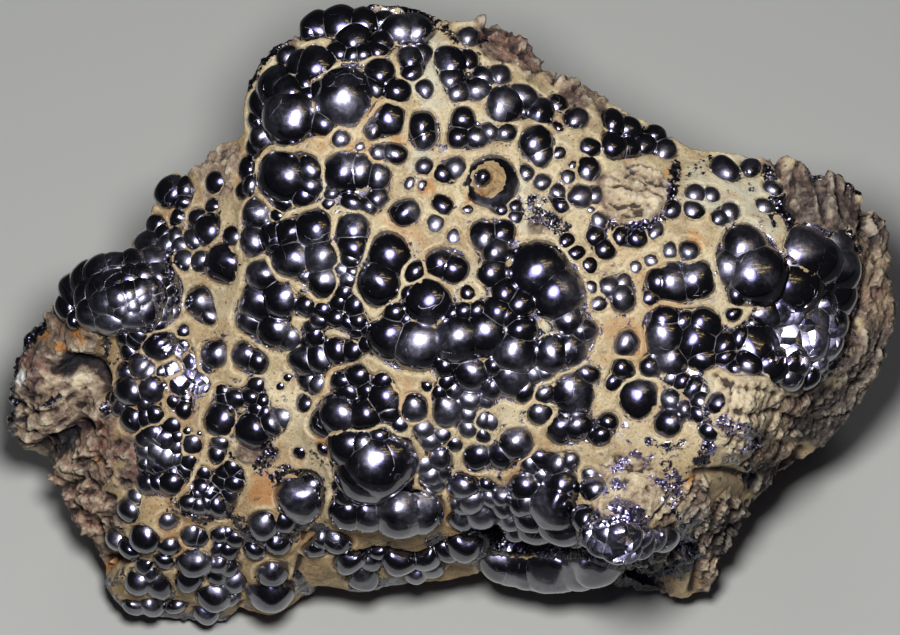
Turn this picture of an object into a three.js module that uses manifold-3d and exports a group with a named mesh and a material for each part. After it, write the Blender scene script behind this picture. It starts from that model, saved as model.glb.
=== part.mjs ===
// Botryoidal hematite hand specimen: one broken block of kidney ore. A face of fused round
// lobes leans forward, and its flanks are fracture surfaces down to the flat it rests on.
// Millimetres, +Z up, X along the length, the lobed face towards -Y and up.
import * as THREE from "three";
import { mergeVertices } from "three/addons/utils/BufferGeometryUtils.js";
import Module from "manifold-3d";

// Driving sizes. The face has its own frame: u along the length, v up the face, w out of it.
const FACE_LEAN = THREE.MathUtils.degToRad(28); // how far the face tips forward from level
const FACE_ORIGIN = new THREE.Vector3(-0.25, -6.95, 58); // of the face's frame, above the base
const CRUST_SOFTNESS = 3; // how far the relief rounds off about each of its points
const SWELL_ROUNDNESS = 0.6; // how a swell falls away from its top: less is a sharper foot
const LOBE_RISE = 0.72; // share of a lobe's radius that stands out of the crust
const STEEPEST = 1.6; // most that a lobe sinks on a steep slope, against a level one
const BASE_INSET = 11; // how far inside the block's widest line the base keeps
const BASE_CENTRE = new THREE.Vector2(0, 5.03); // what the flanks draw in towards
const ABOVE_FACE = 40; // clear of every lobe
const BELOW_BASE = -130; // clear of the base, down the face's own axis

// How closely the face is faceted: rings of points on a lobe, and the crust between lobes.
const FINE_LOBE = 2.6; // radius from which a lobe has three rings
const FINE_RINGS = [[0.5, 5], [0.84, 8], [1.04, 10]]; // share of the radius, points round it
const PLAIN_RINGS = [[0.72, 5], [1.05, 7]];
const CRUST_STEP = 6;
const BROKEN_STEP = 3.4; // where the crust is broken rock
const CLOSEST = 0.55; // no two points of the face are nearer than this

// The block's widest line, seen square on to the face: [u, v], anticlockwise from the right.
const OUTLINE = [
  [74.3, 0], [73.2, 9], [74, 13], [72.6, 17], [70, 18.6], [68, 21.8], [62.5, 23.3], [59.5, 25],
  [57.5, 26.8], [50, 26.8], [46, 27.4], [40, 28], [36, 31], [31, 33.4], [25, 36.4], [20, 39],
  [15.5, 41.6], [13.5, 45], [10, 46.8], [5, 49.3], [-1, 49.2], [-6, 51.3], [-12, 52], [-17, 52],
  [-22.5, 50.4], [-26, 46.6], [-30, 44.6], [-33, 40], [-34.2, 35.4], [-34, 30], [-39.5, 28.8],
  [-43, 24.6], [-47, 23], [-49.6, 18.6], [-51.6, 13.6], [-53, 11.4], [-57.5, 10.4], [-61.5, 8.8],
  [-64.6, 6], [-65.6, 1], [-69, -1.6], [-71.6, -5.5], [-73, -11], [-73.8, -15], [-72.6, -20.8],
  [-70.3, -23], [-66.4, -21.4], [-64, -21.6], [-66.6, -24.4], [-66.8, -27.8], [-64.8, -30],
  [-64.2, -33], [-60.5, -36], [-58.4, -39.4], [-57.8, -44], [-54.8, -49], [-50, -50.2],
  [-44, -50.6], [-39, -51.3], [-35.6, -48.6], [-30, -50], [-26, -47.4], [-23, -44.6],
  [-15, -46], [-8, -44.5], [0, -44], [5, -42.4], [12, -44], [24, -43.2], [30, -45.4],
  [40.6, -47.3], [44, -43.4], [47.4, -35.6], [50.6, -31], [53.5, -27.4], [60, -23], [65, -18.2],
  [70, -11.6], [73, -5],
];

// The crust's relief, as points on it: [u, v, w].
const RELIEF = [
  // back rim, rolling over
  [-16, 52, -8], [-27, 46, -7], [-33, 38, -8], [-35, 30, -8], [-5, 51, -8], [5, 49, -9],
  [13, 45, -10], [20, 39, -9], [30, 34, -9], [40, 28, -10], [50, 26.5, -10], [57, 26, -9],
  // upper face
  [-25, 41, -1], [-12, 43, 0], [0, 41, 0], [10, 37, -1], [22, 32, -2], [-28, 31, 0],
  [-15, 32, 2.5], [0, 28, 3], [15, 25, 1.5], [30, 22, -0.5], [42, 22, -3], [52, 20, -5],
  [-31, 21, -1], [-25, 22, 2], [-12, 18, 4], [2, 16, 5], [15, 12, 5], [28, 10, 3], [40, 8, 3],
  [51, 8, 1.5], [62, 8, -4],
  // middle of the face
  [-32, 8, -1], [-20, 5, 4], [-5, 2, 7], [8, -2, 8], [20, -4, 6], [32, -3, 4], [43, -4, 3],
  [55, -3, -1], [62, -4, -7], [-29, -4, -3], [-23, -8, -2], [-15, -12, 2], [-5, -12, 4],
  [8, -14, 4], [20, -14, 4], [32, -12, 3], [42, -12, 4], [-20, -18, 0], [-12, -24, 0],
  [-3, -22, 0], [8, -22, 1], [18, -22, 2], [28, -22, 3], [40, -20, 4], [52, -14, 2],
  [50, -21, 0], [58, -11, -4],
  // front of the face, turning down
  [-18, -30, -6], [-8, -31, -6], [2, -29, -5], [12, -30, -3], [18, -32, -3], [27, -30, 2],
  [35, -29, 0], [44, -27, -3], [-15, -36, -14], [-5, -37, -15], [5, -35, -14], [12, -36, -13],
  [18, -38, -11], [28, -39.6, -1.6], [23, -38.4, -3.6], [33.4, -38, -4], [38, -38, -13],
  [-20, -44, -26], [-10, -44, -28],
  [0, -43.5, -29], [12, -43.5, -29], [23, -43, -28], [28, -44, -27], [34, -45, -28],
  [41, -47, -34],
  // right flank
  [45, -38, -28], [50, -30, -24], [56, -25, -26], [62, -20, -27], [68, -13, -25], [72, -6, -23],
  [74, 1, -21], [73, 10, -18], [73, 15, -15], [67, 21, -12], [48, -24, -6], [54, -18, -9],
  [61, -12, -13], [65, -5, -13], [67, 3, -12], [67, 12, -9], [60, 19, -7],
  // left shoulder, a terrace below the face
  [-37, 22, -9], [-40, 28, -12], [-38, 15, -7], [-37, 8, -6], [-41, 8, -8], [-44, 14, -11],
  [-48, 21, -16], [-51.5, 13, -17], [-45, 3, -10], [-38, -2, -7], [-34, -9, -6],
  // left dome and the terrace under it
  [-55, 2, -7], [-55, 9, -12], [-61, 5, -13], [-65.5, 2, -20], [-60, -2, -11], [-50, 5, -8],
  [-50, -3, -9], [-44, -6, -9], [-52, -10, -10], [-45, -14, -9], [-38, -14, -8], [-35, -20, -7],
  [-29, -17, -5], [-25, -13, -4], [-40, -24, -10], [-48, -22, -11], [-54, -20, -13],
  [-30, -24, -8], [-24, -22, -5], [-22, -26, -6],
  // lower left lobe, down to the base
  [-48, -29, -13], [-40, -30, -12], [-32, -30, -10], [-24, -31, -9], [-52, -36, -19],
  [-44, -37, -17], [-36, -37, -16], [-28, -38, -16], [-56, -44, -28], [-50, -46, -28],
  [-42, -46, -28], [-33, -46, -28], [-27, -45, -28], [-23, -40, -20], [-54, -49.5, -35],
  [-46, -50.5, -36], [-39, -51.3, -37], [-31, -50, -36], [-26, -47.5, -34],
  // broken matrix on the left
  [-57, -5, -14], [-58, -14, -16], [-58, -24, -18], [-62, -12, -18], [-68, -5, -20],
  [-71.5, -5, -26], [-73.5, -14, -28], [-70, -12, -20], [-70, -22, -27], [-65, -16, -20],
  [-62, -24, -23], [-66.5, -26, -31], [-60, -31, -24], [-64.5, -32, -32], [-59, -38, -31],
  [-57, -42, -31],
];

// Swells of the crust under the lobes, domes with a sharp foot:
// [u, v, half length, half width, turn in degrees, height].
const SWELLS = [
  [-51, -35.5, 6, 5.6, 0, 1.8], [-52, -45, 5.5, 4.2, -15, 1.5], [-43.2, -42, 5.6, 5.8, 0, 1.8],
  [-38.8, -46.8, 4.6, 3.6, 20, 1.6], [-42.4, -30.6, 4.8, 3.4, 0, 1.4], [-31.6, -34.4, 5, 4.6, 10, 2],
  [-30, -45, 4.3, 5.2, 0, 2.4], [-25, -30.5, 2.4, 5, -35, 1.5], [-20, -39.6, 5.2, 3.4, 35, 1.6],
  [-13.5, -44, 4.5, 2.4, 20, 1.2], [-15.6, -32, 6.4, 3.7, -4, 1.8], [-6.5, -34, 5, 4.4, 0, 1.4],
  [-7, -41.6, 6, 3.2, 0, 1.2], [3, -38.4, 5.2, 3.4, 0, 1.2], [3.6, -31.5, 2.8, 5.4, 25, 1.3],
  [9, -32.6, 2.6, 4.6, 22, 1.4], [12.7, -32.4, 2.8, 5, 12, 1.6], [17.4, -31.6, 3.6, 5.4, 0, 1.8],
  [28.4, -33.4, 7.9, 7.4, 0, 3.4], [9.5, -40.6, 4.2, 2.1, 0, 1], [16.5, -43.4, 9.6, 1.9, -2, 1.1],
  [39.6, -32.6, 6, 3, 28, 1.5], [42.6, -40.5, 2.2, 7.6, -18, 1.6], [30.6, 20.4, 6, 5.2, 0, 1.3],
  [-39.5, 25, 4.2, 5, 0, 1.2], [-61, -10.3, 2.3, 1.7, 0, 1.1], [-62, -31, 4.6, 7.5, 12, 1.2],
  [-65.2, -25.6, 2.6, 2.4, 0, 1], [-55.5, 4.5, 9.5, 7.6, 20, 1.6], [48, -15.5, 6.5, 4, -8, 1.2],
  [56.5, -14.4, 4, 3, -20, 1], [62.4, 18.4, 3.6, 6.4, 14, 1.4], [66.6, 15, 2.6, 6, 20, 1.2],
  [-12.5, -25.6, 6.4, 5.8, 0, 0.8], [-66.4, -14.8, 6.6, 2, 32, 1.3], [-67.4, -19.2, 6.4, 1.7, 30, 1],
];

// Broken rock on the face: [u, v, radius, how rough].
const BROKEN = [
  [30.5, 20.5, 6.5, 0.8], [-39, 24, 5, 0.8], [-66, -6, 8, 1.1], [-70, -16, 8, 1.1],
  [-64, -24, 7, 1.2], [-61, -33, 6, 1.2], [-32, -22, 4.5, 0.8], [-29, -35, 4, 0.8],
  [48, -20, 8, 1], [54, -15, 7, 1], [59, -13, 7, 1], [64, 19, 8, 0.9], [70, 9, 6, 1],
  [71, -4, 7, 1], [63, -15, 7, 1], [54, -26, 6, 1], [47, -36, 7, 1], [30, -39, 8, 1],
  [14, -41, 7, 0.9], [12, 45, 6, 0.8], [21, 37.5, 5, 0.8],
];

// The round lobes: [u, v, radius]. Those of one cluster overlap and share seams.
const LOBES = [
  // crown
  [-22.5, 49, 2.5], [-18.5, 49.8, 2.8], [-14.5, 49.6, 2.8], [-11.2, 49.8, 2], [-8.3, 48.3, 3],
  [-5.6, 48.5, 3], [-16, 47, 2.6], [-11.3, 46.2, 1.8], [-6.5, 43.5, 2.2], [-4.6, 44.2, 1.8],
  [-6.3, 41.2, 1.7], [-22.6, 42.9, 2.7], [-25.2, 42.8, 2], [-23.2, 48.2, 2], [-18, 36.8, 4.7],
  [-20.3, 37.6, 2.9], [-16.3, 37.8, 3.5], [-11.6, 41.2, 2.2], [-12.6, 38.6, 1.9],
  [-8.8, 37.7, 2.4], [-29.6, 38.6, 3], [-31.6, 36, 2.4], [-28, 33.8, 3.8], [-27.5, 37.5, 3],
  [-21.3, 32.2, 2], [-10.2, 33, 2.8], [-12.6, 31.3, 2], [-4.6, 31.8, 2.7], [-4.2, 30, 2.3],
  [-31.8, 30, 2.2], [-32.6, 28.6, 1.8],
  // top centre
  [0.3, 43.2, 2.2], [3.2, 47.1, 1.8], [1.7, 37.6, 1.8], [4.9, 38.2, 2], [8.6, 40.7, 1.9],
  [9.3, 36, 3], [12.4, 37, 2.5], [2.2, 33.2, 2], [1.5, 29.9, 2], [4.3, 30, 2],
  [15.2, 34.8, 2.4], [14.3, 29.4, 2.9], [15.2, 27.2, 2.2], [21.2, 33.6, 1.8], [27.6, 32.8, 2],
  [30.3, 31.8, 2], [27.5, 28.9, 2.2], [30, 28.6, 1.8], [34.6, 30.6, 1.7],
  // left shoulder
  [-47.3, 21, 2.4], [-44.6, 21.6, 1.7], [-40.7, 15, 2.3], [-50.6, 12.9, 1.8], [-42, 2.5, 2.9],
  // left dome
  [-49.5, 10.4, 2], [-53, 10, 1.8], [-56, 9.4, 1.8], [-59, 8.3, 1.9], [-61.8, 6.8, 1.8],
  [-63.8, 4.6, 1.8], [-61.5, 3.6, 1.7], [-59, 5.4, 1.7], [-48.2, 7.6, 2], [-49.8, 0.6, 1.7],
  // face, left
  [-28.3, 23.6, 4.2], [-23.7, 24.4, 2.6], [-24.5, 20.6, 2.3], [-28, 19.8, 1.8],
  [-23.6, 22, 2.4], [-17.8, 24.3, 3.4], [-15.2, 24.3, 2.8], [-12, 23.5, 2.2],
  [-11.8, 27.2, 1.8], [-9.2, 27.3, 2], [-16.4, 18.9, 1.9], [-13.5, 18.7, 1.9], [-12, 20, 2],
  [-32.8, 17.2, 2.6], [-33.2, 12.9, 2.5], [-22.8, 14.8, 3.3], [-27, 14, 2.6],
  [-29.6, 13.3, 2.2], [-27, 9.9, 3], [-21.6, 10.2, 3], [-16.3, 14.8, 2.7], [-16.3, 12, 2.6],
  [-21.5, 5.8, 2.5], [-16, 1.8, 1.7], [-10.3, 10.6, 3.6], [-12, 5.8, 3.8], [-7.5, 17.5, 2.5],
  [-1.2, 18.9, 1.9], [-5.9, 7.6, 1.9], [-1.6, 9, 2.9], [0.6, 8.2, 2.6], [-3.7, 2.5, 3.7],
  [-32.7, 2.3, 3.2], [-28.6, 2.6, 2.9], [-24.3, 1.8, 1.9], [-32, 6.8, 2.4], [-38.2, 8.9, 3.2],
  [-19.2, -0.3, 1.9], [-15.5, -0.5, 1.7], [-9.3, 0.6, 1.9],
  // face, centre
  [6.8, 22.6, 4.4], [1, 25, 2], [23.2, 24.8, 1.9], [21.8, 20.3, 2.3], [5.8, 13.8, 2.6],
  [8.8, 14.2, 2.3], [7.6, 11, 2.6], [7, 7.6, 2.6], [9.2, 4.2, 2.3], [11.8, 2.5, 2.4],
  [15.2, 8.2, 4.8], [18, 4.2, 4.6], [8, 1, 2.6], [25.8, 11.4, 1.8], [31.2, 13.5, 1.7],
  [37, 18, 1.8], [28.6, 3.2, 2.5], [26.6, 5.2, 1.9],
  // face, right
  [45.9, 25, 2.2], [50.3, 25.2, 1.8], [39.8, 11.3, 1.8], [37, 5.8, 3.3], [41, 6.2, 3.3],
  [34.6, 6, 2.2],
  // left terrace
  [-53.2, -1, 1.7], [-48.3, -4.8, 2.8], [-52.2, -7.8, 1.8], [-54.2, -12.4, 2.3],
  [-50.3, -12.2, 2], [-53.4, -17, 2], [-39.3, -6.1, 2.3], [-38.5, -17, 2.6],
  // lower face, left
  [-36, -13.4, 1.8], [-34.4, -6.6, 2.3], [-32.4, -7.3, 2.1], [-33.5, -0.5, 2.8],
  [-29.8, -2.3, 2.9], [-27, -3.8, 1.8], [-24.4, -7.4, 2.7], [-22.3, -7, 2.5],
  [-19.1, -5.7, 2.1], [-18.2, -10.6, 2], [-15.8, -9.8, 2], [-11, -13.8, 2.9], [-10.3, -15.6, 2],
  [-6, -15.1, 2.3], [-19.3, -15.8, 2.9], [-21.8, -17.5, 2.1], [-14.3, -16.3, 2.8],
  [-11.5, -20, 2], [-17.8, -22, 3.1], [-15, -21.5, 2.6], [-9.8, -25.3, 4], [-12.3, -26.3, 4.9],
  [-14.3, -27.6, 4.3], [-4.3, -18.6, 1.7], [-3.2, -20.8, 1.7], [-0.5, -15.8, 2.6],
  [-5.9, -4.9, 4], [-10.5, -3.5, 3.6], [-1.6, -23.8, 2.2], [-33, -19.3, 2.8], [-29.9, -18, 1.9],
  // lower face, centre and right
  [1.2, -4, 4], [5.6, -3, 3.4], [3.5, -9.5, 2.8], [10.8, -6.2, 3.6], [12, -2.5, 2.6],
  [17.2, -6.2, 3.2], [20, -5.6, 2.9], [9.5, 0.5, 2], [20, -0.2, 2.9], [22.3, -2.3, 2.4],
  [10, -10.5, 2.9], [12.3, -12.5, 1.8], [4.5, -23.5, 2.2], [10.8, -21.3, 3], [8.3, -23.3, 2.2],
  [20.5, -12.8, 3.5], [23, -9.5, 1.7], [15, -16.2, 2], [18.5, -18.6, 2.6], [21.3, -18.2, 2.6],
  [25, -19.8, 1.9], [26.3, -17.4, 1.8], [29.5, -4.3, 2.2], [28.8, -8.7, 2.2], [33.3, -8.3, 1.9],
  [31.6, -13.2, 3.5], [36.6, -13.6, 1.8], [36.2, -17.5, 2.4], [17.8, -25, 2.2],
  [-0.9, -8.3, 1.8], [7.2, -8.4, 1.9], [7, -12.2, 1.9], [-3.2, -26.7, 1.8],
  // right, below
  [50.2, 10.8, 4.9], [51.7, 7.2, 4.9], [46.7, 8.4, 2.7], [54.9, 7, 2.1], [47.8, 3.8, 1.9],
  [57.9, 9, 1.7], [60.2, 11.2, 3.1], [63, 9.2, 2.6], [65.2, 11.6, 1.8], [66.3, 7.5, 2.3],
  [59.3, 4.2, 3.4], [62.6, 2.2, 2], [65.6, 3.4, 2.2], [57.2, 1.2, 2.6], [53.6, 0.2, 2],
  [61, -1, 2.5], [64.2, -1.2, 2.2], [56.4, -3.4, 3.1], [60.8, -4.3, 2.7], [63.6, -4.6, 2],
  [52.2, -4, 2.6], [48.8, -3.4, 1.9], [45.3, -4.4, 2.3], [45.6, -6.2, 1.8], [54.4, -7, 2.1],
  [50, -7.2, 2], [58, -7.6, 2.5], [61.4, -7.4, 1.8], [35.8, -3, 3.6], [40.8, -3.8, 3.6],
  [37, -7, 2.8], [42, -6.5, 2.6], [40.4, -11.7, 1.9], [35.9, -0.6, 2.7], [42.2, -1.3, 3],
  [39, -0.9, 2.2],
  // front
  [3.6, -31, 2.2], [5.2, -33.4, 2.2], [8.8, -32, 1.9], [9.9, -34, 1.9], [12.6, -31.4, 2.2],
  [13.2, -33.8, 2.3], [14, -36, 2], [17.4, -35.2, 2.6], [2.6, -38.6, 2.9], [-0.4, -39.4, 1.9],
  [-24.6, -32.8, 2], [-23.6, -30, 1.8], [-46.6, -27.8, 2.4], [-43.4, -36.4, 1.7],
  [-51.5, -37.4, 2.2], [-47, -38.5, 1.7], [-42.6, -41.6, 2.7], [-43.6, -44.4, 2],
  [-38.4, -41.5, 1.7], [-48.7, -45.3, 1.8], [-39.5, -47.3, 2.6], [-24, -27.3, 1.7],
  [-25, -31.2, 3.6], [-17, -33.2, 2.4], [-13.8, -33.4, 2.7], [-8.8, -33.6, 4],
  [-4.5, -33.3, 3.3], [-31.3, -35.3, 2.3], [-28.5, -38, 2], [-37, -42, 1.8],
  [-29.7, -43.3, 2.2], [-29.8, -46.8, 3], [-18.8, -38, 1.9], [-16.5, -41, 2.3],
  [-14.5, -44, 1.9], [-8.5, -41, 2.6], [-4, -40.6, 2.4], [2.2, -28.5, 2.3], [12.2, -28.8, 2.3],
  [12, -31.5, 2.2], [18.9, -28.3, 3.1], [16.8, -32.2, 3.8], [36, -37, 2],
];

const { Manifold, Mesh } = await loadManifold();

async function loadManifold() {
  const wasm = await Module();
  wasm.setup();
  return wasm;
}

// A closed geometry as a solid that can be cut and joined.
function solidOf(geometry) {
  const merged = mergeVertices(geometry, 1e-4);
  return new Manifold(new Mesh({
    numProp: 3,
    vertProperties: merged.attributes.position.array,
    triVerts: new Uint32Array(merged.index.array),
  }));
}

function geometryOf(solid) {
  const { vertProperties, triVerts } = solid.getMesh();
  const geometry = new THREE.BufferGeometry()
    .setAttribute("position", new THREE.BufferAttribute(vertProperties, 3))
    .setIndex(new THREE.BufferAttribute(triVerts, 1))
    .toNonIndexed();
  geometry.computeVertexNormals();
  return geometry;
}

function indexedGeometry(points, triangles) {
  return new THREE.BufferGeometry()
    .setAttribute("position", new THREE.Float32BufferAttribute(points.flat(), 3))
    .setIndex(triangles.flat());
}

const faceFrame = new THREE.Matrix4().makeRotationX(FACE_LEAN).setPosition(FACE_ORIGIN);
const fromFace = (u, v, w) => new THREE.Vector3(u, v, w).applyMatrix4(faceFrame);

// A steady scatter between -1 and 1 for a place, so that broken rock comes out the same each time.
function scatter(a, b) {
  const s = Math.sin(a * 12.9898 + b * 78.233) * 43758.5453;
  return 2 * (s - Math.floor(s)) - 1;
}

// Solves a square set of linear equations, each row ending in its right-hand side.
function solve(rows) {
  const n = rows.length;
  for (let i = 0; i < n; i++) {
    let best = i;
    for (let k = i + 1; k < n; k++) if (Math.abs(rows[k][i]) > Math.abs(rows[best][i])) best = k;
    [rows[i], rows[best]] = [rows[best], rows[i]];
    for (let k = i + 1; k < n; k++) {
      const share = rows[k][i] / rows[i][i];
      for (let j = i; j <= n; j++) rows[k][j] -= share * rows[i][j];
    }
  }
  const x = new Array(n).fill(0);
  for (let i = n - 1; i >= 0; i--) {
    x[i] = rows[i][n];
    for (let j = i + 1; j < n; j++) x[i] -= rows[i][j] * x[j];
    x[i] /= rows[i][i];
  }
  return x;
}

// The smooth surface through every point of the relief: a function giving w at (u, v).
function surfaceThrough(points) {
  const reach = (a, b) => Math.hypot(a[0] - b[0], a[1] - b[1], CRUST_SOFTNESS);
  const rows = points.map((p) => [...points.map((q) => reach(p, q)), 1, p[2]]);
  rows.push([...points.map(() => 1), 0, 0]);
  const weights = solve(rows);
  const level = weights.pop();
  return (u, v) => points.reduce((w, p, i) => w + weights[i] * reach(p, [u, v]), level);
}

const relief = surfaceThrough(RELIEF);

// How far the swells stand out of the relief at (u, v).
function swell(u, v) {
  return Math.max(0, ...SWELLS.map(([a, b, length, width, turn, height]) => {
    const c = Math.cos(THREE.MathUtils.degToRad(turn)), s = Math.sin(THREE.MathUtils.degToRad(turn));
    const along = (c * (u - a) + s * (v - b)) / length, across = (c * (v - b) - s * (u - a)) / width;
    return height * Math.max(0, 1 - along ** 2 - across ** 2) ** SWELL_ROUNDNESS;
  }));
}

const crust = (u, v) => relief(u, v) + swell(u, v);

// A lobe with its centre's depth, below the crust by what doesn't stand out.
const lobes = LOBES.map(([u, v, radius]) => {
  const slopeU = (crust(u + 1, v) - crust(u - 1, v)) / 2;
  const slopeV = (crust(u, v + 1) - crust(u, v - 1)) / 2;
  const tilt = Math.min(Math.hypot(1, slopeU, slopeV), STEEPEST);
  return { u, v, radius, w: crust(u, v) - (1 - LOBE_RISE) * radius * tilt };
});

// How far a lobe stands out at (u, v), or nothing where it doesn't reach.
function lobeTop(lobe, u, v) {
  const room = lobe.radius ** 2 - (u - lobe.u) ** 2 - (v - lobe.v) ** 2;
  return room > 0 ? lobe.w + Math.sqrt(room) : -Infinity;
}

const roughness = (u, v) =>
  Math.max(0, ...BROKEN.map(([a, b, r, rough]) => (Math.hypot(u - a, v - b) < r ? rough : 0)));

// The face at (u, v): the highest lobe, or else the crust, which is uneven where it is broken.
function faceTop(u, v) {
  const ground = crust(u, v) + roughness(u, v) * scatter(u, v);
  return Math.max(ground, ...lobes.map((lobe) => lobeTop(lobe, u, v)));
}

// The points that the face is faceted on: lobes first, then their seams, then the crust.
function facePoints() {
  const points = [];
  const add = (u, v) => {
    if (points.every(([a, b]) => Math.hypot(a - u, b - v) > CLOSEST)) points.push([u, v]);
  };
  const hidden = (own, u, v, w) =>
    lobes.some((lobe) => lobe !== own && lobeTop(lobe, u, v) > w + 0.02 * lobe.radius);
  for (const lobe of lobes) if (!hidden(lobe, lobe.u, lobe.v, lobe.w + lobe.radius)) {
    add(lobe.u, lobe.v);
  }
  for (const a of lobes) for (const b of lobes) {
    const apart = Math.hypot(b.u - a.u, b.v - a.v);
    if (a === b || apart >= a.radius + b.radius || apart <= Math.abs(a.radius - b.radius)) continue;
    const along = (apart ** 2 + a.radius ** 2 - b.radius ** 2) / (2 * apart);
    const half = Math.sqrt(a.radius ** 2 - along ** 2);
    const du = (b.u - a.u) / apart, dv = (b.v - a.v) / apart;
    for (const share of [-0.92, -0.45, 0, 0.45, 0.92]) {
      const u = a.u + du * along - dv * half * share, v = a.v + dv * along + du * half * share;
      if (half * Math.abs(share) > 0.5 && !hidden(a, u, v, faceTop(u, v) - 0.01)) add(u, v);
    }
  }
  lobes.forEach((lobe, k) => {
    for (const [share, count] of lobe.radius >= FINE_LOBE ? FINE_RINGS : PLAIN_RINGS) {
      for (let i = 0; i < count; i++) {
        const turn = 2 * Math.PI * (i / count) + k + share;
        const u = lobe.u + lobe.radius * share * Math.cos(turn);
        const v = lobe.v + lobe.radius * share * Math.sin(turn);
        const own = share < 1 ? lobeTop(lobe, u, v) : crust(u, v);
        if (!hidden(lobe, u, v, own)) add(u, v);
      }
    }
  });
  const spread = (step, wanted) => {
    for (let u = -84; u <= 84; u += step) for (let v = -60; v <= 60; v += step) {
      const a = u + scatter(u, v) * step * 0.3, b = v + scatter(v, u) * step * 0.3;
      const clear = points.every(([p, q]) => Math.hypot(p - a, q - b) > step * 0.45);
      if (clear && wanted(a, b) && !hidden(null, a, b, crust(a, b))) points.push([a, b]);
    }
  };
  spread(BROKEN_STEP, (u, v) => roughness(u, v) > 0);
  spread(CRUST_STEP, () => true);
  return points;
}

// Joins points on a plane into triangles whose circles hold no other point.
function delaunay(points) {
  const n = points.length, far = 1e4;
  const all = [...points, [-far, -far], [far, -far], [0, far]];
  const circled = (a, b, c) => {
    const [ax, ay] = all[a], [bx, by] = all[b], [cx, cy] = all[c];
    const d = 2 * (ax * (by - cy) + bx * (cy - ay) + cx * (ay - by));
    const a2 = ax * ax + ay * ay, b2 = bx * bx + by * by, c2 = cx * cx + cy * cy;
    const x = (a2 * (by - cy) + b2 * (cy - ay) + c2 * (ay - by)) / d;
    const y = (a2 * (cx - bx) + b2 * (ax - cx) + c2 * (bx - ax)) / d;
    return { corners: [a, b, c], x, y, room: (ax - x) ** 2 + (ay - y) ** 2 };
  };
  let triangles = [circled(n, n + 1, n + 2)];
  for (let p = 0; p < n; p++) {
    const [x, y] = all[p];
    const kept = [], rim = new Map();
    for (const t of triangles) {
      if ((x - t.x) ** 2 + (y - t.y) ** 2 >= t.room) {
        kept.push(t);
        continue;
      }
      const [a, b, c] = t.corners;
      for (const [from, to] of [[a, b], [b, c], [c, a]]) {
        if (!rim.delete(`${to} ${from}`)) rim.set(`${from} ${to}`, [from, to]);
      }
    }
    triangles = kept;
    for (const [from, to] of rim.values()) triangles.push(circled(from, to, p));
  }
  return triangles.map((t) => t.corners).filter((corners) => Math.max(...corners) < n);
}

// The face as the top of a deep block that reaches past the outline on every side.
function faceBlock() {
  const flat = facePoints();
  const top = delaunay(flat);
  const n = flat.length;
  const points = [
    ...flat.map(([u, v]) => [u, v, faceTop(u, v)]),
    ...flat.map(([u, v]) => [u, v, BELOW_BASE]),
  ];
  const open = new Map();
  for (const [a, b, c] of top) for (const [from, to] of [[a, b], [b, c], [c, a]]) {
    if (!open.delete(`${to} ${from}`)) open.set(`${from} ${to}`, [from, to]);
  }
  const sides = [...open.values()].flatMap(([a, b]) => [[a, a + n, b + n], [a, b + n, b]]);
  const bottom = top.map(([a, b, c]) => [a + n, c + n, b + n]);
  return indexedGeometry(points, [...top, ...sides, ...bottom]).applyMatrix4(faceFrame);
}

// The fracture flanks: rings from above the face, past the outline, in steps down to the base.
function flankBlock() {
  // Each ledge: how far down it is, how far in it draws, and how rough it is.
  const ledges = [[0.1, 1, 2], [0.22, 2, 7], [0.34, 5, 3], [0.5, 5, 9], [0.62, 9, 4],
    [0.8, 9, 6], [1, BASE_INSET, 3]];
  const rings = [
    OUTLINE.map(([u, v]) => fromFace(u, v, ABOVE_FACE)),
    OUTLINE.map(([u, v]) => fromFace(u, v, crust(u, v) - 1)),
  ];
  const widest = rings[1];
  ledges.forEach(([down, inset, rough], k) => {
    rings.push(widest.map((p, i) => {
      const broken = 0.6 * Math.sin(i * 0.62 + k * 1.9) + 0.4 * Math.sin(i * 1.45 - k * 2.6);
      const away = Math.hypot(p.x - BASE_CENTRE.x, p.y - BASE_CENTRE.y);
      const share = 1 - (inset + rough * Math.abs(broken + 0.3 * scatter(i, k))) / away;
      const x = BASE_CENTRE.x + (p.x - BASE_CENTRE.x) * share;
      const y = BASE_CENTRE.y + (p.y - BASE_CENTRE.y) * share;
      const step = k + 1 < ledges.length ? 0.04 * Math.sin(i * 0.8 + k * 2.9) : 0;
      return new THREE.Vector3(x, y, p.z * (1 - down + step));
    }));
  });
  const n = OUTLINE.length;
  const points = rings.flat().map((p) => p.toArray());
  const triangles = [];
  for (let k = 0; k + 1 < rings.length; k++) for (let i = 0; i < n; i++) {
    const a = k * n + i, b = k * n + (i + 1) % n, c = a + n, d = b + n;
    triangles.push([a, c, d], [a, d, b]);
  }
  const cap = THREE.ShapeUtils.triangulateShape(OUTLINE.map(([u, v]) => new THREE.Vector2(u, v)), []);
  const last = (rings.length - 1) * n;
  for (const [a, b, c] of cap) triangles.push([a, b, c], [last + a, last + c, last + b]);
  return indexedGeometry(points, triangles);
}

const hematite = new THREE.MeshStandardMaterial({
  color: 0x15151a, roughness: 0.18, metalness: 0.4, flatShading: true,
});
const block = solidOf(faceBlock()).intersect(solidOf(flankBlock()));
const stone = new THREE.Mesh(geometryOf(block), hematite);
stone.name = "hematite_specimen";

const part = new THREE.Group();
part.add(stone);
export default part;
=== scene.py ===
"""Botryoidal hematite: glossy black round lobes in a tan crust, on a broken brown-grey rock."""

import math

import bmesh
import bpy
import numpy as np
from mathutils import Matrix, Vector, noise


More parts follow.
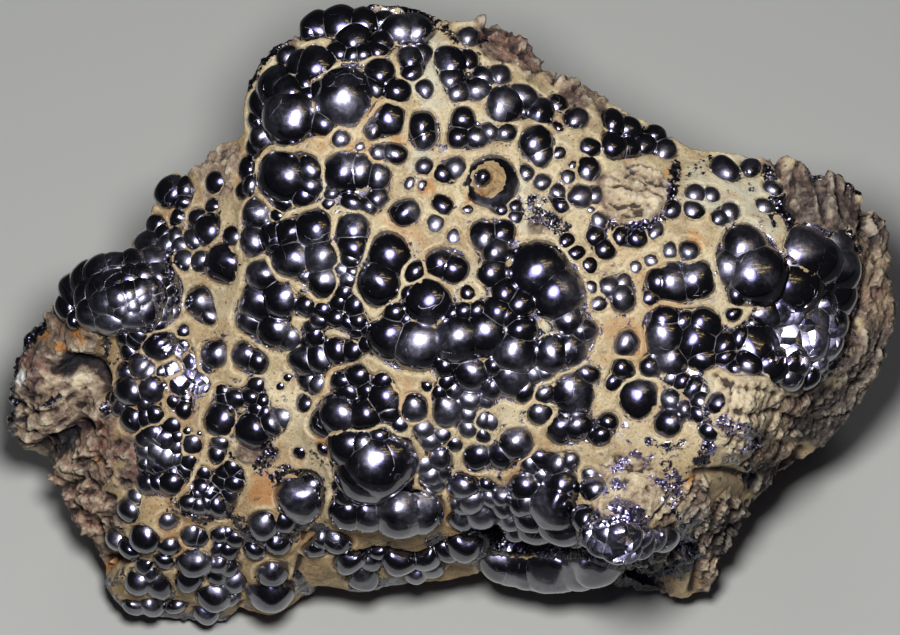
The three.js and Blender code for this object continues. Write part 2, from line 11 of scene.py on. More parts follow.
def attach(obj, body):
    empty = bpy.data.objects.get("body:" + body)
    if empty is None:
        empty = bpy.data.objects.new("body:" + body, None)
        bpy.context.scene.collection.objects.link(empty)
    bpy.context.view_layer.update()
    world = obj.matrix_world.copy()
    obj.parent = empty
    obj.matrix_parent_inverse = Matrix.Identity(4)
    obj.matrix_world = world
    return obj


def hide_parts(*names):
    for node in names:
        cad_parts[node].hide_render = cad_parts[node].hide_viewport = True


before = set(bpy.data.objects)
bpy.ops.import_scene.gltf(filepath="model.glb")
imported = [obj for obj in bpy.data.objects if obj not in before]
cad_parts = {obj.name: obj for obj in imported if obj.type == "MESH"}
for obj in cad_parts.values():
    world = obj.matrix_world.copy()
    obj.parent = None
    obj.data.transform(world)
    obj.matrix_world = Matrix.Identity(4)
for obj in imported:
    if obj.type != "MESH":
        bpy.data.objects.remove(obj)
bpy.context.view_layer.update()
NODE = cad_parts["hematite_specimen"]
MM = 0.001

# The lobed face's own frame, as in the CAD: u along the length, v up the face, w out of it.
FACE_LEAN = math.radians(28)
FACE_ORIGIN = np.array([-0.25, -6.95, 58.0])
CRUST_SOFTNESS = 3.0
SLOPE_STEP = 0.8  # mm to each side, over which the crust's slope is taken

# A lobe is a ball sunk in the crust. These are against the width that shows, for a round lobe, a
# flat one and one of the smallest.
LOBE_SPREAD = (1.04, 1.15, 1.14)  # its radius where it meets the crust
LOBE_RISE = (0.5, 0.36, 0.28)  # how far it stands out
SMALL_LOBE = (0.7, 2.0)  # mm of listed radius, between which a lobe goes from small to full
LARGE_LOBE = 1.8  # mm of listed radius, from which a lobe is in the piece of large ones
LOBE_UNEVEN = 0.03  # height of the bumps on a ball, against its radius
BURIED = 1.3  # mm of each ball under the crust that is kept
FINE_BALL, COARSE_BALL = 6.0, 1.9  # mm of radius, over which a ball is finest and next finest
SEAM_CREASE = math.radians(38)  # from which an edge of the lobes is sharp

# Which lobes grow together, and the seams between them.
MEETING = 0.08  # mm over which the edges of neighbouring lobes run into each other
OVERLAP = (-0.15, 0.2)  # least overlap of two in one cluster, against the smaller one's radius,
OVERLAP_SIZE = (1.2, 1.9)  # where the larger one is of these radii in mm
NOTCH = 0.36  # how far the notch of two that touch is bare, as a share of the smaller one's radius
SEAM_SINE = 0.13  # of the angle between two lobes, from which they have a seam

FLATS_SEED = 4  # of the broken flats' lean, which would otherwise start from the clock
BEND_SEED = 5
BEND_WAVES = 14
BEND_LENGTHS = (3.6, 11)  # mm
BEND_SHARE = 0.01  # height of each wave that draws the growth aside, as a share of its length

# The crust round a cluster, in mm: it drops to the lobes' foot, and stands up in a wall about them.
FAR = 6.0  # from a lobe, from where it no longer shapes the crust
CLOSE = 0.5  # within which a lobe's size sets that of the wall round it
DITCH_DEPTH = 0.28
DITCH_WIDTH = 0.14
WALL_HEIGHT = 0.5
WALL_RISE = (-0.06, 0.36)  # from the lobes, between which the wall comes up
WALL_FALL = (0.8, 2.6)  # from the lobes, between which it goes down to the plain crust
RIDGE = 0.65  # most height of the wall between two clusters that touch
RIDGE_SHARE = 0.25  # its height against the smaller lobe's width
RIDGE_GAP = (0.5, 1.6)  # how wide the gap between two clusters is, from the full wall to none
RIDGE_HALF = (0.2, 0.85)  # how much nearer the one is than the other, from the full wall to none
FULL_SIZE = 2.3  # of listed radius, from which lobes have the full wall round them

BODY_VOXELS = (1.0, 0.42)  # mm, while the body takes on the broad relief and then the swells
CRUST_DEPTH = 4.5  # mm under the crust, from where a face is in the pieces of rock
LOBE_BUMP, CRUST_BUMP = 0.3, 0.4  # mm of the materials' finest relief
FLATS_LEVEL = 0.7  # how far the bright flats are turned level with the face
FLATS_LEAN = 0.7  # and how far each leans by itself

# The dark sheet that only the lobes' reflections show: painted dark reflection of the floor.
SURROUND_INSIDE = (115.0, 92.0)  # mm from the middle to where it is dark, along x and y
SURROUND_OUTSIDE = (3000.0, 3000.0)
SURROUND_GREY = (52, 52, 54)
FLOOR_GREY = (164, 165, 163)
ROOM_COLOUR = (0.8, 0.84, 1.0, 1)
ROOM_STRENGTH = 0.03
# The lights: name, place in the face's frame and size in mm, power in watts, and colour. The fill
# stands low behind the stone and doesn't show in the lobes, and the glow shows only there.
LIGHTS = [
    ("flash", (-12, 62, 460), (100, 100), 3.05, (1.0, 1.0, 0.97)),
    ("fill", (-60, 610, -230), (420, 420), 1.5, (1.0, 1.0, 1.0)),
    ("glow", (-14, 66, 468), (300, 300), 1.35, (0.45, 0.39, 1.0)),
]
# The room's lamps: how far right of a ball's centre and above it each shows, of its radius.
LAMPS = ((0.12, 0.31), (0.17, 0.22), (0.32, 0.21), (0.23, 0.13))
LAMP_DISTANCE = 500.0
LAMP_WIDTH = 0.13  # how wide a lamp shows on a ball, against the ball's radius
LAMP_THICKNESS = 13.0  # mm
LAMP_POWER = 0.036
LAMP_COLOUR = (1.0, 0.74, 0.3)
VIEW_DISTANCE = 3600.0
FRAME_WIDTH = 150.0  # mm that the picture is wide,
FRAME_DEPTH = -4.0  # in the plane so far out of the face

# The crust's relief, as points on it: [u, v, w] in millimetres.
RELIEF = [
    # back rim, rolling over
    [-16, 52, -8], [-27, 46, -7], [-33, 38, -8], [-35, 30, -8], [-5, 51, -8], [5, 49, -9],
    [13, 45, -10], [20, 39, -9], [30, 34, -9], [40, 28, -10], [50, 26.5, -10], [57, 26, -9],
    # upper face
    [-25, 41, -1], [-12, 43, 0], [0, 41, 0], [10, 37, -1], [22, 32, -2], [-28, 31, 0],
    [-15, 32, 2.5], [0, 28, 3], [15, 25, 1.5], [30, 22, -0.5], [42, 22, -3], [52, 20, -5],
    [-31, 21, -1], [-25, 22, 2], [-12, 18, 4], [2, 16, 5], [15, 12, 5], [28, 10, 3], [40, 8, 3],
    [51, 8, 1.5], [62, 8, -4],
    # middle of the face
    [-32, 8, -1], [-20, 5, 4], [-5, 2, 7], [8, -2, 8], [20, -4, 6], [32, -3, 4], [43, -4, 3],
    [55, -3, -1], [62, -4, -7], [-29, -4, -3], [-23, -8, -2], [-15, -12, 2], [-5, -12, 4],
    [8, -14, 4], [20, -14, 4], [32, -12, 3], [42, -12, 4], [-20, -18, 0], [-12, -24, 0],
    [-3, -22, 0], [8, -22, 1], [18, -22, 2], [28, -22, 3], [40, -20, 4], [52, -14, 2],
    [50, -21, 0], [58, -11, -4],
    # front of the face, turning down
    [-18, -30, -6], [-8, -31, -6], [2, -29, -5], [12, -30, -3], [18, -32, -3], [27, -30, 2],
    [35, -29, 0], [44, -27, -3], [-15, -36, -14], [-5, -37, -15], [5, -35, -14], [12, -36, -13],
    [18, -38, -11], [28, -39.6, -1.6], [23, -38.4, -3.6], [33.4, -38, -4], [38, -38, -13],
    [-20, -44, -26], [-10, -44, -28],
    [0, -43.5, -29], [12, -43.5, -29], [23, -43, -28], [28, -44, -27], [34, -45, -28],
    [41, -47, -34],
    # right flank
    [45, -38, -28], [50, -30, -24], [56, -25, -26], [62, -20, -27], [68, -13, -25], [72, -6, -23],
    [74, 1, -21], [73, 10, -18], [73, 15, -15], [67, 21, -12], [48, -24, -6], [54, -18, -9],
    [61, -12, -13], [65, -5, -13], [67, 3, -12], [67, 12, -9], [60, 19, -7],
    # left shoulder, a terrace below the face
    [-37, 22, -9], [-40, 28, -12], [-38, 15, -7], [-37, 8, -6], [-41, 8, -8], [-44, 14, -11],
    [-48, 21, -16], [-51.5, 13, -17], [-45, 3, -10], [-38, -2, -7], [-34, -9, -6],
    # left dome and the terrace under it
    [-55, 2, -7], [-55, 9, -12], [-61, 5, -13], [-65.5, 2, -20], [-60, -2, -11], [-50, 5, -8],
    [-50, -3, -9], [-44, -6, -9], [-52, -10, -10], [-45, -14, -9], [-38, -14, -8], [-35, -20, -7],
    [-29, -17, -5], [-25, -13, -4], [-40, -24, -10], [-48, -22, -11], [-54, -20, -13],
    [-30, -24, -8], [-24, -22, -5], [-22, -26, -6],
    # lower left lobe, down to the base
    [-48, -29, -13], [-40, -30, -12], [-32, -30, -10], [-24, -31, -9], [-52, -36, -19],
    [-44, -37, -17], [-36, -37, -16], [-28, -38, -16], [-56, -44, -28], [-50, -46, -28],
    [-42, -46, -28], [-33, -46, -28], [-27, -45, -28], [-23, -40, -20], [-54, -49.5, -35],
    [-46, -50.5, -36], [-39, -51.3, -37], [-31, -50, -36], [-26, -47.5, -34],
    # broken matrix on the left
    [-57, -5, -14], [-58, -14, -16], [-58, -24, -18], [-62, -12, -18], [-68, -5, -20],
    [-71.5, -5, -26], [-73.5, -14, -28], [-70, -12, -20], [-70, -22, -27], [-65, -16, -20],
    [-62, -24, -23], [-66.5, -26, -31], [-60, -31, -24], [-64.5, -32, -32], [-59, -38, -31],
    [-57, -42, -31],
]

# The round lobes: [u, v, radius] in millimetres.
LOBES = [
    # crown
    [-22.5, 49, 2.5], [-18.5, 49.8, 2.8], [-14.5, 49.6, 2.8], [-11.2, 49.8, 2], [-8.3, 48.3, 3],
    [-5.6, 48.5, 3], [-16, 47, 2.6], [-11.3, 46.2, 1.8], [-18.8, 44.8, 1.3], [-16.3, 44.2, 1.3],
    [-14.5, 44.4, 1.4], [-12, 45, 1.2], [-6.5, 43.5, 2.2], [-4.6, 44.2, 1.8], [-6.3, 41.2, 1.7],
    [-22.6, 42.9, 2.7], [-25.2, 42.8, 2], [-27.5, 43.8, 1.5], [-23.2, 48.2, 2],
    [-24.8, 39.5, 1.2], [-18, 36.8, 4.7], [-20.3, 37.6, 2.9], [-16.3, 37.8, 3.5],
    [-16.1, 39.3, 1.3], [-11.6, 41.2, 2.2], [-12.6, 38.6, 1.9], [-8.8, 37.7, 2.4],
    [-4.2, 38.2, 1.4], [-29.6, 38.6, 3], [-31.6, 36, 2.4], [-28, 33.8, 3.8], [-27.5, 37.5, 3],
    [-24, 37.2, 1.5], [-21.3, 32.2, 2], [-18.3, 29.8, 1.5], [-15.2, 28.4, 0.8], [-10.2, 33, 2.8],
    [-12.6, 31.3, 2], [-4.6, 31.8, 2.7], [-4.2, 30, 2.3], [-31.8, 30, 2.2], [-32.6, 28.6, 1.8],
    [-32.6, 33.2, 1.4],
    # top centre
    [0.3, 43.2, 2.2], [3, 43.3, 1.6], [3.2, 47.1, 1.8], [0.6, 40.3, 1.6], [1.7, 37.6, 1.8],
    [4.9, 38.2, 2], [5.6, 40.5, 1.6], [8.6, 40.7, 1.9], [9.3, 36, 3], [12.4, 37, 2.5],
    [2.2, 33.2, 2], [1.5, 29.9, 2], [4.3, 30, 2], [6.8, 31.3, 1.6], [9.7, 31, 1.6],
    [15.2, 34.8, 2.4], [14.3, 29.4, 2.9], [15.2, 27.2, 2.2], [21.2, 33.6, 1.8], [23.6, 28.4, 1.5],
    [18.2, 27.3, 0.9], [18.2, 32.1, 0.5], [18.1, 36, 0.8], [27.6, 32.8, 2], [30.3, 31.8, 2],
    [27.5, 28.9, 2.2], [30, 28.6, 1.8], [34.6, 30.6, 1.7], [36.2, 28.2, 1.4], [32.7, 29.2, 1.5],
    # nose and slab
    [23.2, -36.4, 1.9], [25.2, -38, 2.1], [27.5, -38.8, 2.2], [29.9, -39, 2.2],
    [32.2, -38.5, 2.1], [34.2, -37.2, 1.9], [25.4, -36.2, 1.9], [27.7, -37, 2], [29.9, -37.2, 2],
    [32, -36.8, 1.9], [8.5, -42.4, 2], [10.6, -42.8, 2.4], [12.8, -43.1, 2.5], [15, -43.3, 2.6],
    [17.2, -43.3, 2.6], [19.4, -43.2, 2.5], [21.6, -42.9, 2.4], [23.8, -42.5, 2.1],
    # left shoulder
    [-47.3, 21, 2.4], [-44.6, 21.6, 1.7], [-45, 19.5, 1.5], [-45.8, 16.6, 1.2],
    [-42.3, 16.8, 1.3], [-46.2, 13.5, 1], [-43.2, 13.3, 1.3], [-40.7, 15, 2.3],
    [-48.5, 14.2, 0.9], [-50.6, 12.9, 1.8], [-49.6, 15.5, 1.5], [-47.8, 12.4, 1],
    [-45.7, 12.2, 0.7], [-44.7, 9.8, 1.1], [-42.1, 9.6, 1.1], [-42, 2.5, 2.9], [-39.5, 22.5, 1.2],
    [-40, 18.9, 0.8],
    # left dome
    [-49.5, 10.4, 2], [-53, 10, 1.8], [-56, 9.4, 1.8], [-59, 8.3, 1.9], [-61.8, 6.8, 1.8],
    [-63.8, 4.6, 1.8], [-64.4, 1.8, 1.6], [-61.5, 3.6, 1.7], [-59, 5.4, 1.7], [-56.3, 6.6, 1.6],
    [-53.6, 7.4, 1.6], [-51, 7.8, 1.6], [-48.2, 7.6, 2], [-46.6, 5, 1.5], [-49, 5.2, 1.4],
    [-51.4, 5.4, 1.4], [-53.8, 5, 1.4], [-56.2, 4.2, 1.4], [-58.6, 2.9, 1.5], [-61, 1, 1.5],
    [-58.8, 0.6, 1.1], [-57, 1.6, 1.2], [-55, 2.4, 1.3], [-52.7, 3.1, 1.3], [-50.4, 3.3, 1.2],
    [-48.4, 3.1, 1.2], [-46.4, 3, 1.2], [-47.3, 1, 1.2], [-49.8, 0.6, 1.7], [-45.9, 1.2, 0.9],
    [-48.3, -0.9, 1], [-52.5, 1, 1.3], [-55, 0.3, 1.2], [-63.2, -0.4, 1],
    # face, left
    [-34.2, 24.9, 1.2], [-33.5, 22.2, 1.1], [-34.8, 21.5, 0.8], [-28.3, 23.6, 4.2],
    [-23.7, 24.4, 2.6], [-24.5, 20.6, 2.3], [-28, 19.8, 1.8], [-23.6, 22, 2.4],
    [-17.8, 24.3, 3.4], [-15.2, 24.3, 2.8], [-12, 23.5, 2.2], [-11.8, 27.2, 1.8], [-9.2, 27.3, 2],
    [-19.8, 20.6, 1.2], [-20.2, 18.9, 0.9], [-16.4, 19.1, 1.8], [-13.5, 18.7, 1.9], [-12, 20, 2],
    [-32.8, 17.2, 2.6], [-33.2, 12.9, 2.5], [-29.2, 17, 0.6], [-22.8, 14.8, 3.3], [-27, 14, 2.6],
    [-29.6, 13.3, 2.2], [-27, 9.9, 3], [-21.6, 10.2, 3], [-16.3, 14.8, 2.7], [-16.3, 12, 2.6],
    [-16.8, 10, 1.6], [-21.5, 5.8, 2.5], [-17.3, 6.2, 1.2], [-17.8, 4, 1.1], [-18.6, 2.4, 1.2],
    [-16, 1.8, 1.7], [-24.5, 6.8, 0.9], [-10.3, 10.6, 3.6], [-12, 5.8, 3.8], [-7.5, 17.5, 2.5],
    [-6.8, 22.3, 1], [-4.7, 22, 0.9], [-4.2, 25, 1.6], [-1.2, 24, 1.4], [-1.2, 18.9, 1.9],
    [-2.5, 15.8, 1.3], [-5.9, 7.6, 1.9], [-1.6, 9, 2.9], [0.6, 8.2, 2.6], [-3.7, 2.5, 3.7],
    [-32.7, 2.3, 3.2], [-28.6, 2.6, 2.9], [-24.3, 1.8, 1.9], [-32, 6.8, 2.4], [-21.3, 1, 1.4],
    [-38.2, 8.9, 3.2], [-36.8, 13.7, 0.8], [-19.2, -0.3, 1.9], [-15.5, -0.5, 1.7],
    [-17.3, -0.9, 1.6], [-22, -0.9, 1.2], [-18.3, 7.8, 0.8], [-16.6, 7.6, 0.9], [-9.3, 0.6, 1.9],
    [-7.5, -0.6, 1], [-7, 4.2, 1.2],
    # face, centre
    [6.8, 22.6, 4.4], [1, 25, 2], [12.6, 24.3, 1.4], [15.3, 22.6, 1.6], [19.8, 23.6, 0.9],
    [23.2, 24.8, 1.9], [20.6, 25.3, 0.6], [21.8, 20.3, 2.3], [24, 20.5, 1.5], [18.6, 18.8, 1.5],
    [18, 21, 1.4], [23.5, 17.9, 0.6], [8.6, 18.2, 1], [11, 18.7, 1], [10.8, 16.8, 1.1],
    [2.9, 17.8, 0.8], [0.8, 13.4, 0.9], [5.8, 13.8, 2.6], [8.8, 14.2, 2.3], [7.6, 11, 2.6],
    [7, 7.6, 2.6], [2.8, 4.1, 1.2], [9.2, 4.2, 2.3], [11.8, 2.5, 2.4], [15.2, 8.2, 4.8],
    [18, 4.2, 4.6], [8, 1, 2.6], [23.6, 5.2, 0.9], [19.7, 13, 1.1], [21.3, 10.8, 1.3],
    [23.2, 8.8, 1.1], [24.2, 13.6, 1.5], [25.8, 11.4, 1.8], [24.8, 16.2, 1.3], [28.5, 13.6, 1.5],
    [31.2, 13.5, 1.7], [34, 14.5, 1.2], [37, 18, 1.8], [28.6, 3.2, 2.5], [26.6, 5.2, 1.9],
    [29, 5.8, 1.4], [24.8, 2.3, 1.1], [30.9, 8.2, 0.8], [36.6, 11.3, 1.3], [2.3, 1, 1.6],
    [4.3, 1.2, 1.6], [0.6, 0.6, 1.3], [6, 1, 1.2], [33.4, 9.3, 1.1], [33.2, 3.5, 1],
    # face, right
    [45.9, 25, 2.2], [50.3, 25.2, 1.8], [40.9, 21, 1.2], [40.6, 18, 1.4], [46.9, 18, 1.1],
    [43.7, 20.8, 0.8], [52.6, 18.7, 0.8], [53.8, 21.8, 1.2], [39.8, 11.3, 1.8], [37, 5.8, 3.3],
    [41, 6.2, 3.3], [34.6, 6, 2.2],
    # left terrace
    [-56.4, -1.7, 1.6], [-53.2, -1, 1.7], [-50.7, -1.4, 1.1], [-52.3, -3.4, 0.9],
    [-54.6, -4.1, 0.7], [-53, -4.3, 0.8], [-54, -5.8, 1], [-48.3, -4.8, 2.8], [-44.6, -2.3, 1],
    [-45.2, -5.6, 1], [-43.6, -7, 1.3], [-44.4, -4.5, 1], [-46.6, -8.5, 1.1], [-48.2, -9.1, 0.8],
    [-47.5, -11.4, 0.6], [-43.7, -9.3, 1], [-41.8, -10.5, 1.2], [-41, -12.2, 0.9],
    [-42.6, -12.2, 0.9], [-40.5, -8.2, 0.9], [-45.2, -11.2, 1.4], [-44.3, -12.4, 0.8],
    [-46.2, -14, 0.9], [-44.1, -13.8, 0.9], [-44.5, -15.3, 1.5], [-54.6, -8.8, 1.3],
    [-52.2, -7.8, 1.8], [-51.2, -9, 1.2], [-54.2, -12.4, 2.3], [-50.3, -12.2, 2],
    [-49.3, -11.5, 1.2], [-56.3, -13.6, 0.6], [-55.5, -15.2, 0.9], [-53.4, -17, 2],
    [-51.6, -14.5, 1.1], [-51.2, -16.8, 1.4], [-49.6, -16.3, 1.5], [-46.6, -18.1, 1.2],
    [-44, -19, 0.7], [-41.9, -19.5, 0.4], [-49.6, -19.6, 1.6], [-48, -20.6, 1.5],
    [-51.3, -20.3, 1.3], [-49.3, -22.6, 1.4], [-47.8, -23.6, 1.6], [-49.2, -25, 1.5],
    [-51.4, -22.5, 0.9], [-51.3, -24.8, 0.8], [-45.8, -20.2, 1], [-45.9, -22, 1],
    [-45.8, -23.6, 0.9], [-43.2, -21.4, 1.5], [-43.6, -24.1, 1.1], [-46.5, -26.3, 1.4],
    [-44.5, -25.7, 1.1], [-41.2, -26, 1], [-39.1, -23.1, 1.4], [-39.3, -6.1, 2.3],
    [-40.5, 0.3, 1.5], [-38.5, -17, 2.6], [-37.7, -13.8, 1.4], [-38, -12.5, 1.2],
    [-38.5, -20.8, 1.3], [-37.8, -26, 1.2],
    # lower face, left
    [-36, -13.4, 1.8], [-33.4, -13.2, 1.6], [-32.5, -15.2, 1.1], [-31.4, -13.8, 1.2],
    [-31, -16, 1], [-32.5, -11.1, 1.2], [-34.4, -6.6, 2.3], [-32.4, -7.3, 2.1],
    [-33.5, -0.5, 2.8], [-29.8, -2.3, 2.9], [-27, -3.8, 1.8], [-23.2, -2, 1], [-22.8, -3.7, 1.5],
    [-24.2, -4.4, 0.7], [-24.4, -7.4, 2.7], [-22.3, -7, 2.5], [-19.1, -5.7, 2.1],
    [-16.5, -5.7, 1.6], [-14.2, -4.8, 1], [-14, -2.2, 0.9], [-15.8, -2.3, 0.8], [-24, -10.7, 1.5],
    [-22.6, -11.2, 1.1], [-28.2, -11.7, 0.6], [-27, -10.4, 0.5], [-24.7, -14.1, 1.2],
    [-18.2, -10.6, 2], [-15.8, -9.8, 2], [-14.2, -12.2, 1.3], [-17.5, -12.2, 1.6],
    [-11, -13.8, 2.9], [-11.3, -10.6, 1.5], [-10.3, -15.6, 2], [-6, -15.1, 2.3],
    [-8.3, -17.7, 1.3], [-19.3, -15.8, 2.9], [-21.8, -17.5, 2.1], [-14.3, -16.3, 2.8],
    [-11.5, -20, 2], [-17.8, -22, 3.1], [-15, -21.5, 2.6], [-9.8, -25.3, 4], [-12.3, -26.3, 4.9],
    [-14.3, -27.6, 4.3], [-4.3, -18.6, 1.7], [-3.2, -20.8, 1.7], [-1.2, -19.8, 1.3],
    [-1.7, -12.8, 1.3], [-4, -11.6, 0.8], [-0.5, -11, 1.2], [-0.5, -15.8, 2.6], [-5.9, -4.9, 4],
    [-10.5, -3.5, 3.6], [-1.6, -23.8, 2.2], [-4.2, -24.9, 1], [-21.5, -22.2, 0.6],
    [-33, -19.3, 2.8], [-29.9, -18, 1.9], [-28, -16.6, 1], [-25.2, -23, 0.6],
    # lower face, centre and right
    [1.2, -4, 4], [5.6, -3, 3.4], [3.5, -9.5, 2.8], [10.8, -6.2, 3.6], [12, -2.5, 2.6],
    [17.2, -6.2, 3.2], [20, -5.6, 2.9], [9.5, 0.5, 2], [20, -0.2, 2.9], [22.3, -2.3, 2.4],
    [10, -10.5, 2.9], [12.3, -12.5, 1.8], [3.3, -14, 1.5], [6.1, -14.2, 0.9], [5.5, -17.5, 1.2],
    [3, -18.8, 1.3], [6.8, -17.6, 0.9], [0.8, -21.5, 0.8], [4.5, -23.5, 2.2], [10.8, -21.3, 3],
    [8.3, -23.3, 2.2], [20.5, -12.8, 3.5], [23, -9.5, 1.7], [15.8, -13, 1.6], [15, -16.2, 2],
    [18.5, -18.6, 2.6], [21.3, -18.2, 2.6], [25, -19.8, 1.9], [26.3, -17.4, 1.8],
    [29.5, -4.3, 2.2], [28.8, -8.7, 2.2], [33.3, -8.3, 1.9], [27.3, -11, 1.5], [31.6, -13.2, 3.5],
    [36.6, -13.6, 1.8], [36.2, -17.5, 2.4], [36.7, -10, 1.2], [17.8, -25, 2.2], [20, -24, 1.6],
    [13.5, -24.8, 1.3], [23.3, -26.1, 1.2], [-0.9, -8.3, 1.8], [1, -7.6, 1.6], [7.2, -8.4, 1.9],
    [7, -12.2, 1.9], [0.8, -12.4, 1.2], [14, -9.7, 1.2], [15.8, -9.2, 1.3], [-3.2, -26.7, 1.8],
    [-1.2, -26.2, 1.3], [-2.4, -28.2, 1], [15, -23.6, 1.4], [15.3, -26.6, 1.2], [5.4, -19.9, 1],
    [3, -16.4, 1.2],
    # right, below
    [49.4, 12.4, 3.5], [51.7, 7.2, 4.9], [46.7, 8.4, 2.7], [54.9, 7, 2.1], [47.8, 3.8, 1.9],
    [44.9, 16.9, 1.1], [57.9, 9, 1.7], [60.2, 11.2, 3.1], [63, 9.2, 2.6], [65.2, 11.6, 1.8],
    [66.3, 7.5, 2.3], [59.3, 4.2, 3.4], [63.5, 4.9, 1.1], [62.6, 2.2, 2], [65.6, 3.4, 2.2],
    [57.2, 1.2, 2.6], [53.6, 0.2, 2], [47.2, 0.6, 1.5], [61, -1, 2.5], [64.2, -1.2, 2.2],
    [56.4, -3.4, 3.1], [60.8, -4.3, 2.7], [63.6, -4.6, 2], [52.2, -4, 2.6], [48.8, -3.4, 1.9],
    [45.3, -4.4, 2.3], [45.6, -6.2, 1.8], [54.4, -7, 2.1], [50, -7.2, 2], [58, -7.6, 2.5],
    [61.4, -7.4, 1.8], [47.6, -8, 1.1], [57.4, -10.2, 1.3], [60, -10, 1.4], [51.4, -1.4, 1.4],
    [35.8, -3, 3.6], [40.8, -3.8, 3.6], [37, -7, 2.8], [42, -6.5, 2.6], [40.4, -11.7, 1.9],
    [38.4, -10.5, 1.5], [39, -15.2, 1.6], [43, -19.3, 1.2], [44, -13.8, 1], [35.9, -0.6, 2.7],
    [42.2, -1.3, 3], [39, -0.9, 2.2], [41.3, -13.8, 1.3], [41, -15.8, 1.2], [41.8, -12, 0.8],
    # front
    [3.6, -31, 2.2], [5.2, -33.4, 2.2], [1.8, -34, 1.3], [8.8, -32, 1.9], [9.9, -34, 1.9],
    [11, -35.8, 1.6], [12.6, -31.4, 2.2], [13.2, -33.8, 2.3], [14, -36, 2], [17.4, -35.2, 2.6],
    [6.6, -30.6, 1.2], [2.6, -38.6, 2.9], [-0.4, -39.4, 1.9], [21.8, -33.4, 1.5],
    [-12.4, -29.4, 1.3], [-17.4, -30.4, 1.6], [-15, -30.2, 1.5], [-13.6, -41.4, 1.5],
    [-12, -39.4, 1.6], [-24.6, -32.8, 2], [-23.6, -30, 1.8], [-51, -28, 1.6], [-49.2, -27.8, 1.5],
    [-46.6, -27.8, 2.4], [-41.2, -27.6, 1.2], [-39.8, -28.8, 1.2], [-38.3, -27.5, 1.3],
    [-40, -30.2, 1.2], [-43.8, -31.4, 1.2], [-42.2, -32, 1.1], [-40.4, -31.7, 1],
    [-38.3, -32, 1.6], [-53, -30, 1.1], [-54.2, -32.3, 1.4], [-47, -34.3, 1], [-43.4, -36.4, 1.7],
    [-41.3, -36.8, 1.1], [-38.3, -36.6, 1.3], [-51.5, -37.4, 2.2], [-54, -38.8, 1.3],
    [-56, -37.5, 0.8], [-47, -38.5, 1.7], [-48.3, -41, 0.9], [-42.6, -41.6, 2.7],
    [-43.6, -44.4, 2], [-38.4, -41.5, 1.7], [-38.7, -43.7, 1.3], [-38.5, -39, 1],
    [-51.8, -41.7, 1.1], [-52.2, -45.2, 1.2], [-48.7, -45.3, 1.8], [-50, -43.8, 0.8],
    [-39.5, -47.3, 2.6], [-53, -48.7, 1.5], [-50, -48.6, 1.2], [-46, -48.5, 1.3], [-41, -50, 1.5],
    [-24, -27.3, 1.7], [-26.7, -28, 1.2], [-25, -31.2, 3.6], [-18.9, -28.2, 0.7],
    [-21.3, -28.7, 0.6], [-17, -33.2, 2.4], [-13.8, -33.4, 2.7], [-8.8, -33.6, 4],
    [-4.5, -33.3, 3.3], [-31.3, -35.3, 2.3], [-27.3, -34.5, 1.5], [-28.5, -38, 2],
    [-36.2, -37.4, 1.1], [-37.3, -36.5, 0.9], [-37.2, -39.5, 1.3], [-32.7, -39.2, 1.4],
    [-37, -42, 1.8], [-29.7, -43.3, 2.2], [-29.8, -46.8, 3], [-21.5, -37.6, 1.3],
    [-18.8, -38, 1.9], [-22.8, -39, 1.4], [-16.5, -41, 2.3], [-14.5, -44, 1.9], [-8.5, -41, 2.6],
    [-4, -40.6, 2.4], [-5.5, -43.5, 1.2], [-3, -42.3, 1.2], [2.2, -28.5, 2.3], [2.3, -31.5, 1.5],
    [6, -28.2, 1.3], [8.5, -30.3, 1.6], [12.2, -28.8, 2.3], [12, -31.5, 2.2], [18.9, -28.3, 3.1],
    [16.8, -32.2, 3.8], [23.3, -28, 1.6], [36, -37, 2], [-36.7, -25.5, 1.1], [-36.2, -28, 1.5],
    [-36.9, -30.2, 1.1], [-35.6, -26.5, 0.8], [-42.5, -29.8, 0.8], [-35.6, -44.6, 1.6],
    [-37, -47.2, 1.3],
]

# Where the lobes are flat and crowded: [u, v, radius].
FLAT = [
    [-56, 5.5, 9.5], [60, 1, 8.5], [63, 8, 5], [54, -5, 4], [-50, -11.5, 4], [-46, -22, 5],
    [-44, -9, 4.6], [-40, -28, 3], [16, -43.6, 9],
]

BURST = (6.4, 23, 2.9)  # the burst bubble's crater: u, v, radius
BURST_INNER = (-1.0, 0.2, -2.6)  # the small bubble in it, from the middle of its top

